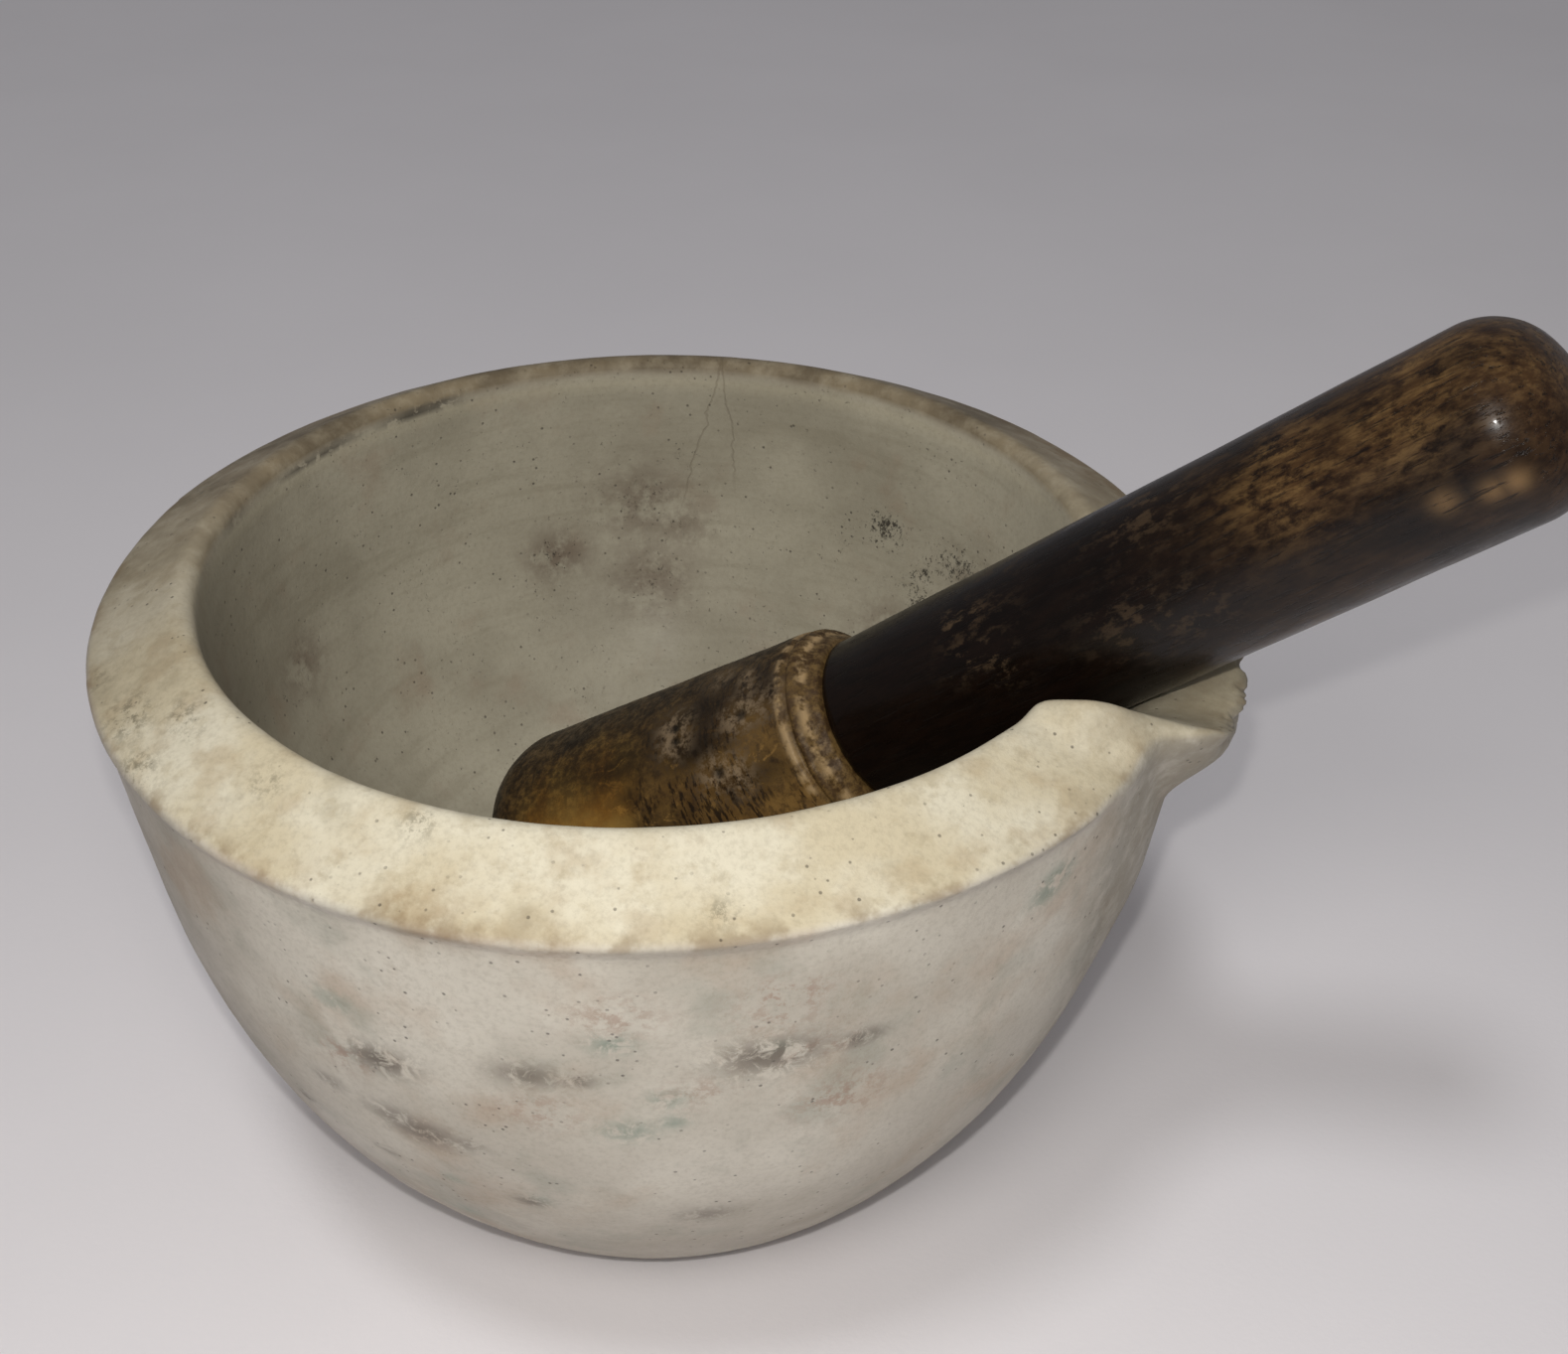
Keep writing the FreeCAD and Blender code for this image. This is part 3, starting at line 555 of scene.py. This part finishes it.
end_gap = HANDLE_FACE - HANDLE_ROUND
end_r = HANDLE_RADIUS - HANDLE_ROUND
end_centre = (end_r, HANDLE_TOP - HANDLE_FACE + math.sqrt(end_gap**2 - end_r**2))
end_edge = (
    end_r * HANDLE_FACE / end_gap,
    HANDLE_TOP - HANDLE_FACE + (end_centre[1] - HANDLE_TOP + HANDLE_FACE) * HANDLE_FACE / end_gap,
)
grip_top = (HANDLE_RADIUS, end_centre[1])
handle_profile = np.vstack(
    [
        line((0, TENON[1]), TENON, 2.5),
        line(TENON, (TENON[0], SEAT[1]), 2.5),
        line((TENON[0], SEAT[1]), (NECK_RADIUS - 0.7, SEAT[1]), 1.0),
        line((NECK_RADIUS - 0.7, SEAT[1]), (NECK_RADIUS, SEAT[1] + 0.9), 0.3),
        line((NECK_RADIUS, SEAT[1] + 0.9), grip_top, 0.9),
        arc(end_centre, grip_top, end_edge, 0.7),
        arc((0, HANDLE_TOP - HANDLE_FACE), end_edge, (0, HANDLE_TOP), 0.7)[:-1],
    ]
)
handle_grid = turned(handle_profile)
flat = handle_grid.reshape(-1, 3)
push = normals_of(handle_grid).reshape(-1, 3)
grain = rough(flat * (1, 1, 0.12), 2.4, 2, shift=40.0)
worn = 0.16 * (rough(flat, 22.0, 2, shift=8.0) - 0.9) + 0.035 * grain
worn *= smooth_step(flat[:, 2], SEAT[1] + 0.5, SEAT[1] + 3.0)
flat = flat + push * worn[:, None]
handle_grid = flat.reshape(handle_grid.shape)

around = np.arctan2(head_grid[..., 1], head_grid[..., 0])
along = head_grid[..., 2]
amber = scatter(32, 5, (FACING, BARREL_MIDDLE - 14), (22, 9), ((9, 14), (8, 12)), (0.8, 1.0))
amber += scatter(33, 2, (AWAY, BARREL_MIDDLE - 14), (60, 12), ((9, 12), (8, 9)))
tar = scatter(34, 14, (FACING - 15, BARREL_MIDDLE + 8), (38, 28), ((3, 5), (3, 12)), (0.5, 1.0))
tar += scatter(35, 8, (AWAY, BARREL_MIDDLE), (90, 24), ((6, 10), (7, 14)), (0.5, 0.9))
pale = [(at, up, 1.8 * ball, 1.8 * ball, 1.0) for at, up, ball, _, _ in head_chips]
pale += scatter(36, 7, (FACING, BARREL_MIDDLE + 18), (70, 16), ((2, 5), (1.2, 4.0)), (0.5, 0.8))
holes = [(at, up, 0.6 * ball, 0.6 * ball, 1.0) for at, up, ball, _, _ in head_chips]
top_side = smooth_step(-np.cos(around), 0.35, 0.95)
head_masks = {
    "amber": patches(around, along, amber, HEAD),
    "tar": patches(around, along, tar, HEAD),
    "pale": patches(around, along, pale, HEAD),
    "holes": patches(around, along, holes, HEAD),
    "top_side": top_side,
    "collar": smooth_step(along, 81.5, 84.0),
    # edges: the barrel's top edge and the bead's top edge, painted pale as a highlight.
    "edges": np.exp(-(((along - 82.3) / 0.7) ** 2)) + np.exp(-(((along - 86.1) / 0.6) ** 2)),
}
head = ring_mesh("pestle_head_worn", head_grid, head_masks, lean)

around = np.arctan2(handle_grid[..., 1], handle_grid[..., 0])
along = handle_grid[..., 2]
GRIP_MIDDLE = (SEAT[1] + HANDLE_TOP) / 2
gold = scatter(41, 9, (FACING - 25, GRIP_MIDDLE + 40), (28, 24), ((5, 9), (6, 12)), (0.6, 1.0))
gold += scatter(42, 4, (AWAY, GRIP_MIDDLE + 25), (80, 20), ((7, 9), (14, 20)), (0.5, 0.7))
scuff = scatter(43, 6, (FACING, GRIP_MIDDLE - 36), (26, 8), ((2.5, 4), (2.5, 5)), (0.4, 0.9))
scuff += scatter(44, 7, (FACING + 60, GRIP_MIDDLE), (140, 34), ((5, 7), (7, 10)), (0.3, 0.6))
spots = scatter(45, 3, (FACING + 50, GRIP_MIDDLE + 52), (14, 7), ((2, 2.5), (2, 2.5)), (0.5, 1.0))
handle_masks = {
    "gold": patches(around, along, gold, HANDLE_RADIUS),
    "scuff": patches(around, along, scuff, HANDLE_RADIUS),
    "spots": patches(around, along, spots, HANDLE_RADIUS),
    "out": smooth_step(along, 145.0, 225.0),
    # top_side: the upper side, which the wood's paint makes lighter near the end as painted light.
    "top_side": smooth_step(-np.cos(around), -0.1, 0.9),
}
handle = ring_mesh("pestle_handle_worn", handle_grid, handle_masks, lean)

for piece, body, node, slot in (
    (mortar, "mortar", "mortar", "mortar_stoneware"),
    (head, "pestle", "pestle_head", "head_stoneware"),
    (handle, "pestle", "pestle_handle", "handle_wood"),
):
    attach(piece, body)
    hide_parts(node)

# ---------------------------------------------------------------- material helpers


def tint(red, green, blue):
    """A colour given as 0 to 255 on screen, as the linear values a shader takes."""
    channels = [value / 255 for value in (red, green, blue)]
    return tuple(c / 12.92 if c <= 0.04045 else ((c + 0.055) / 1.055) ** 2.4 for c in channels)


class Paint:
    """One procedural material, built up node by node."""

    def __init__(self, name, leaning=False):
        self.material = bpy.data.materials.new(name)
        self.material.use_nodes = True
        self.nodes = self.material.node_tree.nodes
        self.links = self.material.node_tree.links
        self.surface = self.nodes["Principled BSDF"]
        self.place = self.nodes.new("ShaderNodeTexCoord").outputs["Object"]
        if leaning:
            upright = self.nodes.new("ShaderNodeMapping")
            upright.vector_type = "TEXTURE"
            upright.inputs["Location"].default_value = Vector(TIP) * MM
            upright.inputs["Rotation"].default_value = (0, math.pi / 2 - LEAN, 0)
            self.links.new(self.place, upright.inputs["Vector"])
            self.place = upright.outputs[0]

    def feed(self, socket, value):
        if isinstance(value, bpy.types.NodeSocket):
            self.links.new(value, socket)
        elif socket.type == "RGBA":
            socket.default_value = (*value, 1.0)
        else:
            socket.default_value = value

    def calc(self, operation, *values):
        node = self.nodes.new("ShaderNodeMath")
        node.operation = operation
        for socket, value in zip(node.inputs, values):
            self.feed(socket, value)
        return node.outputs[0]

    def times(self, *values):
        total = values[0]
        for value in values[1:]:
            total = self.calc("MULTIPLY", total, value)
        return total

    def scaled(self, across, up, shift=0.0):
        """The place on the object, stretched sideways or upwards and moved, for a pattern."""
        node = self.nodes.new("ShaderNodeMapping")
        self.feed(node.inputs["Vector"], self.place)
        node.inputs["Scale"].default_value = (across, across, up)
        node.inputs["Location"].default_value = (shift, shift * 0.7, shift * 0.4)
        return node.outputs[0]

    def noise(self, size, shift=0.0, across=1.0, up=1.0, detail=4.0, roughness=0.55, twist=0.0):
        """Noise from 0 to 1 with spots about as big as size, in millimetres."""
        node = self.nodes.new("ShaderNodeTexNoise")
        self.feed(node.inputs["Vector"], self.scaled(across, up, shift))
        node.inputs["Scale"].default_value = 1 / (size * MM)
        node.inputs["Detail"].default_value = detail
        node.inputs["Roughness"].default_value = roughness
        node.inputs["Distortion"].default_value = twist
        return node.outputs["Fac"]

    def dots(self, size, radius, shift=0.0, across=1.0, up=1.0):
        """Small round spots, one to a cell of the given size, with the given share of its width."""
        node = self.nodes.new("ShaderNodeTexVoronoi")
        self.feed(node.inputs["Vector"], self.scaled(across, up, shift))
        node.inputs["Scale"].default_value = 1 / (size * MM)
        return self.step(node.outputs["Distance"], radius, radius * 0.5)

    def step(self, value, low, high):
        node = self.nodes.new("ShaderNodeMapRange")
        node.interpolation_type = "SMOOTHSTEP"
        self.feed(node.inputs["Value"], value)
        node.inputs["From Min"].default_value = min(low, high)
        node.inputs["From Max"].default_value = max(low, high)
        node.inputs["To Min"].default_value = 0.0 if low < high else 1.0
        node.inputs["To Max"].default_value = 1.0 if low < high else 0.0
        return node.outputs[0]

    def span(self, value, low, high):
        """Map 0..1 onto low..high."""
        return self.calc("MULTIPLY_ADD", value, high - low, low)

    def mask(self, name):
        node = self.nodes.new("ShaderNodeAttribute")
        node.attribute_name = name
        return node.outputs["Fac"]

    def mix(self, amount, first, second):
        node = self.nodes.new("ShaderNodeMix")
        node.data_type = "RGBA"
        self.feed(node.inputs[0], amount)
        self.feed(node.inputs[6], first)
        self.feed(node.inputs[7], second)
        return node.outputs[2]

    def stain(self, colour, mask, texture, amount, paint):
        """A marked area painted over a colour, broken up by a texture."""
        return self.mix(self.times(self.mask(mask), texture, amount), colour, paint)

    def bump(self, height, depth):
        """A bump whose full height is depth, in millimetres."""
        node = self.nodes.new("ShaderNodeBump")
        node.inputs["Strength"].default_value = 1.0
        node.inputs["Distance"].default_value = depth * MM
        self.feed(node.inputs["Height"], height)
        self.links.new(node.outputs[0], self.surface.inputs["Normal"])

    def finish(self, colour, roughness, **extra):
        self.feed(self.surface.inputs["Base Color"], colour)
        self.feed(self.surface.inputs["Roughness"], roughness)
        for name, value in extra.items():
            self.surface.inputs[name.replace("_", " ")].default_value = value
        return self.material


# ---------------------------------------------------------------- mortar material


def wall_colour(p, broad, cloud):
    colour = p.mix(p.step(broad, 0.35, 0.65), tint(203, 197, 183), tint(180, 173, 159))
    colour = p.mix(p.times(p.step(cloud, 0.5, 0.72), 0.55), colour, tint(172, 150, 128))
    colour = p.mix(p.times(p.step(p.noise(17, shift=9.4), 0.52, 0.7), 0.4), colour, tint(142, 144, 130))
    # Painted shade over the outside, from the painted shade mask, broken up by noise.
    shade_breakup = p.span(p.step(p.noise(15, shift=3.7, detail=7, roughness=0.62), 0.30, 0.70), 0.45, 1.0)
    return p.stain(colour, "painted_shade", shade_breakup, 0.8, tint(132, 121, 105))


def band_colour(p, cloud, fine):
    colour = p.mix(p.step(cloud, 0.38, 0.62), tint(208, 200, 178), tint(194, 182, 154))
    tan = p.step(p.noise(9, shift=4.4, detail=5), 0.5, 0.68)
    colour = p.mix(p.times(tan, 0.36), colour, tint(160, 138, 104))
    colour = p.mix(p.times(p.step(p.noise(13, shift=6.1), 0.56, 0.72), 0.32), colour, tint(140, 130, 106))
    mottle = p.step(p.noise(4.2, shift=2.6, detail=5, roughness=0.65), 0.52, 0.68)
    colour = p.mix(p.times(mottle, 0.34), colour, tint(166, 152, 122))
    old = p.mix(p.step(cloud, 0.35, 0.65), tint(132, 118, 93), tint(98, 86, 67))
    return p.mix(p.times(p.mask("aged"), p.span(p.step(fine, 0.3, 0.6), 0.78, 1.0)), colour, old)


def bowl_colour(p, broad):
    wear = p.noise(2.6, across=0.10, up=1.0, shift=2.2, detail=4)
    colour = p.mix(p.step(broad, 0.35, 0.65), tint(165, 158, 139), tint(144, 137, 119))
    colour = p.mix(p.times(p.step(wear, 0.48, 0.7), 0.22), colour, tint(120, 112, 92))
    return p.mix(p.times(p.step(p.noise(16, shift=8.2), 0.55, 0.75), 0.4), colour, tint(138, 116, 96))


def dark_marks(p):
    """Specks, pits and thin lines, as an amount of dark from 0 to 1."""
    specks = p.times(p.dots(2.4, 0.15), p.step(p.noise(12, shift=2.9), 0.42, 0.6))
    peppered = p.step(p.noise(0.9, shift=4.0, detail=3, roughness=0.8), 0.64, 0.70)
    peppered = p.times(peppered, p.step(p.noise(11, shift=1.9, detail=6, roughness=0.7), 0.40, 0.62))
    peppered = p.times(peppered, p.calc("MAXIMUM", p.mask("inside"), p.times(p.mask("aged"), 0.8)))
    crumbs = p.noise(1.1, shift=3.3, up=0.7, detail=5, roughness=0.85)
    pitted = p.step(p.calc("MULTIPLY_ADD", p.mask("pits"), 0.38, crumbs), 0.72, 0.80)
    sooty = p.step(p.calc("MULTIPLY_ADD", p.mask("stains"), 0.16, crumbs), 0.70, 0.76)
    lined = p.times(p.mask("lines"), p.step(p.noise(3.0, shift=6.3, detail=5), 0.38, 0.48))
    dark = p.calc("MAXIMUM", p.times(specks, 0.7), p.times(peppered, 0.7))
    dark = p.calc("MAXIMUM", dark, p.calc("MAXIMUM", pitted, lined))
    return p.calc("MAXIMUM", dark, p.times(sooty, 0.8))


def stoneware():
    p = Paint("stained_stoneware")
    broad = p.noise(42)
    cloud = p.noise(21, shift=3.1, detail=5)
    fine = p.noise(5, shift=1.7, detail=5, roughness=0.65)
    grit = p.noise(1.1, shift=0.6, detail=3, roughness=0.7)

    muddy = p.times(p.mask("spout"), p.span(p.step(fine, 0.3, 0.6), 0.4, 1.0))
    outside = p.mix(p.times(muddy, 0.75), wall_colour(p, broad, cloud), tint(132, 124, 106))
    band = p.mix(p.times(muddy, 0.6), band_colour(p, cloud, fine), tint(152, 140, 116))
    colour = p.mix(p.mask("band"), outside, band)
    colour = p.mix(p.mask("inside"), colour, bowl_colour(p, broad))
    # Painted highlight: a light line along the crest's inner edge, limited to the back by the aged mask.
    colour = p.stain(colour, "edge", p.times(p.mask("aged"), p.mask("aged")), 0.3, tint(190, 180, 154))
    colour = p.mix(p.times(p.step(grit, 0.4, 0.75), 0.22), colour, tint(120, 110, 92))

    blurred = p.step(p.noise(2.6, shift=7.1, detail=6, roughness=0.75), 0.46, 0.6)
    torn = p.step(p.noise(3.4, shift=5.2, detail=6, roughness=0.72, twist=0.6), 0.38, 0.54)
    frayed = p.step(p.noise(2.0, shift=8.8, detail=6, roughness=0.8), 0.46, 0.6)
    for mask, texture, amount, paint in (
        ("rose", blurred, 0.75, tint(146, 112, 92)),
        ("teal", torn, 0.8, tint(92, 118, 104)),
        ("grey", torn, 0.85, tint(92, 82, 70)),
        ("brown", p.step(fine, 0.35, 0.6), 0.5, tint(128, 98, 58)),
        ("smudge", frayed, 0.85, tint(94, 88, 70)),
        ("stains", p.step(fine, 0.34, 0.58), 0.85, tint(92, 74, 60)),
        # corner: a broken brown line along the rim's outer corner, painted shade.
        ("corner", p.step(p.noise(8, shift=7.7), 0.5, 0.64), 0.55, tint(120, 98, 66)),
    ):
        colour = p.stain(colour, mask, texture, amount, paint)

    dark = dark_marks(p)
    crack = bowl_crack(p)
    colour = p.mix(p.times(dark, 0.88), colour, tint(38, 33, 28))
    colour = p.mix(p.times(crack, 0.22), colour, tint(84, 70, 52))

    relief = p.calc("ADD", p.times(grit, 0.45), p.times(fine, 0.55))
    relief = p.calc("SUBTRACT", relief, p.times(dark, 0.8))
    relief = p.calc("SUBTRACT", relief, p.times(crack, 0.5))
    p.bump(relief, 0.16)
    roughness = p.span(p.step(cloud, 0.3, 0.7), 0.46, 0.68)
    return p.finish(colour, roughness)


CRACK_START = 100.0
CRACK_TOP = 0.126
# The two hairlines: degrees round for each metre down, and length in metres.
HAIRLINES = ((190.0, 0.038), (-95.0, 0.032))


def bowl_crack(p):
    """Two hairlines that start together under the rim and part as they run down the bowl's wall."""
    parts = p.nodes.new("ShaderNodeSeparateXYZ")
    p.feed(parts.inputs[0], p.place)
    turn = p.calc("ARCTAN2", parts.outputs[1], parts.outputs[0])
    drop = p.calc("SUBTRACT", CRACK_TOP, parts.outputs[2])
    shake = p.times(p.calc("SUBTRACT", p.noise(7, shift=12.0, detail=3), 0.5), 0.06)
    total = 0.0
    for slope, length in HAIRLINES:
        path = p.span(drop, math.radians(CRACK_START), math.radians(CRACK_START + slope))
        away = p.calc("ABSOLUTE", p.calc("SUBTRACT", turn, p.calc("ADD", path, shake)))
        thin = p.times(p.step(away, 0.004, 0.001), p.step(drop, length, length - 0.012))
        total = p.calc("MAXIMUM", total, thin)
    return total


# ---------------------------------------------------------------- pestle materials


def stained_head():
    p = Paint("stained_head", leaning=True)
    cloud = p.noise(9, shift=2.0, detail=5)
    fine = p.noise(1.8, shift=1.1, detail=6, roughness=0.75)
    ragged = p.noise(3.0, shift=4.2, across=1.0, up=0.6, detail=6, roughness=0.75, twist=0.8)
    streak = p.noise(1.7, shift=6.0, across=0.5, up=2.2, detail=4, roughness=0.7)
    colour = p.mix(p.step(cloud, 0.35, 0.65), tint(122, 93, 50), tint(84, 61, 31))
    colour = p.mix(p.times(p.step(fine, 0.45, 0.65), 0.6), colour, tint(50, 33, 16))
    smooth = p.mix(p.step(cloud, 0.3, 0.7), tint(164, 128, 64), tint(136, 94, 38))
    colour = p.mix(p.step(p.mask("amber"), 0.25, 0.75), colour, smooth)
    quiet = p.calc("SUBTRACT", 1.0, p.step(p.mask("amber"), 0.3, 0.7))
    blots = p.times(p.step(streak, 0.51, 0.56), p.step(cloud, 0.34, 0.54), quiet)
    colour = p.mix(p.times(blots, 0.85), colour, tint(20, 12, 7))
    colour = p.mix(p.times(p.mask("tar"), p.step(ragged, 0.36, 0.44), 0.95), colour, tint(16, 10, 6))
    top = p.times(p.mask("top_side"), p.span(p.step(fine, 0.3, 0.6), 0.6, 1.0))
    colour = p.mix(p.times(top, 0.9), colour, tint(22, 14, 7))
    colour = p.mix(p.times(p.mask("pale"), p.step(fine, 0.42, 0.6), 0.7), colour, tint(150, 128, 100))
    ring = p.mix(p.step(fine, 0.35, 0.6), tint(104, 82, 48), tint(56, 39, 20))
    colour = p.mix(p.times(p.mask("collar"), 0.85), colour, ring)
    # Painted highlight: pale lines along the collar's edges, broken up by noise.
    worn = p.times(p.mask("edges"), p.step(p.noise(3.0, shift=3.9, detail=5), 0.42, 0.58))
    colour = p.mix(p.times(worn, 0.8), colour, tint(164, 138, 100))
    colour = p.mix(p.times(p.mask("holes"), p.step(ragged, 0.3, 0.42)), colour, tint(10, 8, 6))
    relief = p.calc("ADD", p.times(fine, 0.6), p.times(p.noise(0.7, shift=9.0), 0.4))
    p.bump(relief, 0.14)
    roughness = p.span(p.step(fine, 0.3, 0.7), 0.38, 0.64)
    return p.finish(colour, roughness, Specular_IOR_Level=0.3)


def dark_wood():
    p = Paint("dark_turned_wood", leaning=True)
    grain = p.noise(1.7, across=1.0, up=0.25, detail=5, roughness=0.7)
    pores = p.noise(0.8, shift=3.0, across=1.0, up=0.10, detail=3, roughness=0.7)
    cloud = p.noise(13, shift=5.0, up=0.5, detail=4)
    fine = p.noise(2.4, shift=8.0, up=0.6, detail=5, roughness=0.7)
    deep = p.mix(p.step(grain, 0.35, 0.65), tint(17, 8, 4), tint(9, 4, 2))
    open_wood = p.mix(p.step(grain, 0.35, 0.65), tint(62, 44, 27), tint(36, 22, 12))
    worn = p.times(p.mask("out"), p.step(cloud, 0.3, 0.62))
    colour = p.mix(worn, deep, open_wood)
    # Gold patches, and the upper side near the end painted lighter gold as painted light.
    gold_and_lit_top = p.calc("MAXIMUM", p.mask("gold"), p.times(p.mask("out"), p.mask("top_side"), 0.4))
    gold = p.mix(p.step(grain, 0.35, 0.6), tint(102, 78, 46), tint(66, 46, 25))
    colour = p.mix(p.times(gold_and_lit_top, p.step(fine, 0.36, 0.58)), colour, gold)
    colour = p.mix(p.times(p.mask("scuff"), p.step(fine, 0.5, 0.62), 0.7), colour, tint(88, 70, 50))
    colour = p.mix(p.times(p.mask("spots"), 0.8), colour, tint(128, 100, 66))
    colour = p.mix(p.times(p.step(pores, 0.57, 0.66), 0.75), colour, tint(14, 8, 5))
    relief = p.calc("SUBTRACT", p.times(grain, 0.5), p.times(p.step(pores, 0.56, 0.68), 0.6))
    p.bump(relief, 0.10)
    roughness = p.span(p.step(fine, 0.3, 0.7), 0.26, 0.42)
    return p.finish(colour, roughness, Specular_IOR_Level=0.2, Coat_Weight=0.12, Coat_Roughness=0.1)


def cement():
    p = Paint("pitch_cement")
    colour = p.mix(p.noise(2.0), tint(150, 132, 104), tint(112, 94, 70))
    p.bump(p.noise(0.8), 0.1)
    return p.finish(colour, 0.8)


mortar.data.materials.append(stoneware())
head.data.materials.append(stained_head())
handle.data.materials.append(dark_wood())
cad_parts["handle_cement"].data.materials.clear()
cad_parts["handle_cement"].data.materials.append(cement())

# ---------------------------------------------------------------- stage, lights and camera


def plain(name, colour):
    p = Paint(name)
    shade = p.mix(p.step(p.noise(160), 0.3, 0.7), colour, tuple(c * 0.97 for c in colour))
    p.bump(p.noise(1.4), 0.05)
    return p.finish(shade, 0.85)


bpy.ops.mesh.primitive_plane_add(size=8, location=(0, 0, -0.0002))
floor = bpy.context.object
floor.name = "floor"
floor.data.materials.append(plain("floor_paper", (0.80, 0.765, 0.775)))

CAMERA_PLACE = Vector((0.1174, -0.2896, 0.3060))
CAMERA_AIM = Vector((-0.2510, 0.7933, -0.5546))
CAMERA_ROLL = 0.0105
CAMERA_LENS = 45.6
camera = bpy.data.objects.new("camera", bpy.data.cameras.new("camera"))
bpy.context.scene.collection.objects.link(camera)
camera.data.sensor_width = 36.0
camera.data.lens = CAMERA_LENS
camera.data.clip_start = 0.01
camera.location = CAMERA_PLACE
camera.rotation_mode = "QUATERNION"
camera.rotation_quaternion = CAMERA_AIM.to_track_quat("-Z", "Y") @ Matrix.Rotation(
    CAMERA_ROLL, 3, "Z"
).to_quaternion()
bpy.context.scene.camera = camera


BOWL_MIDDLE = (0.0, 0.0, 0.09)


def lamp(name, kind, place, power, size, colour):
    """A point or disk light aimed at the bowl; only the point light shows as a highlight."""
    light = bpy.data.lights.new(name, kind)
    light.energy = power
    light.color = colour
    if kind == "AREA":
        light.shape = "DISK"
        light.size = size
    else:
        light.shadow_soft_size = size
    made = bpy.data.objects.new(name, light)
    made.location = place
    made.rotation_mode = "QUATERNION"
    made.rotation_quaternion = (Vector(BOWL_MIDDLE) - Vector(place)).to_track_quat("-Z", "Y")
    made.visible_glossy = kind == "POINT"
    bpy.context.scene.collection.objects.link(made)


lamp("lens_light", "POINT", (0.109, -0.280, 0.3235), 1.8, 0.004, (1.0, 0.985, 0.95))
lamp("key_light", "AREA", (0.10, -0.36, 0.46), 1.0, 0.22, (1.0, 0.98, 0.95))
lamp("ceiling_light", "AREA", (-0.154, -0.599, 2.4), 13.0, 0.45, (0.96, 0.98, 1.0))
world = bpy.data.worlds.new("room")
bpy.context.scene.world = world
world.use_nodes = True
world.node_tree.nodes["Background"].inputs["Color"].default_value = (0.95, 0.95, 1.0, 1.0)
world.node_tree.nodes["Background"].inputs["Strength"].default_value = 0.2
bpy.context.scene.view_settings.view_transform = "Standard"
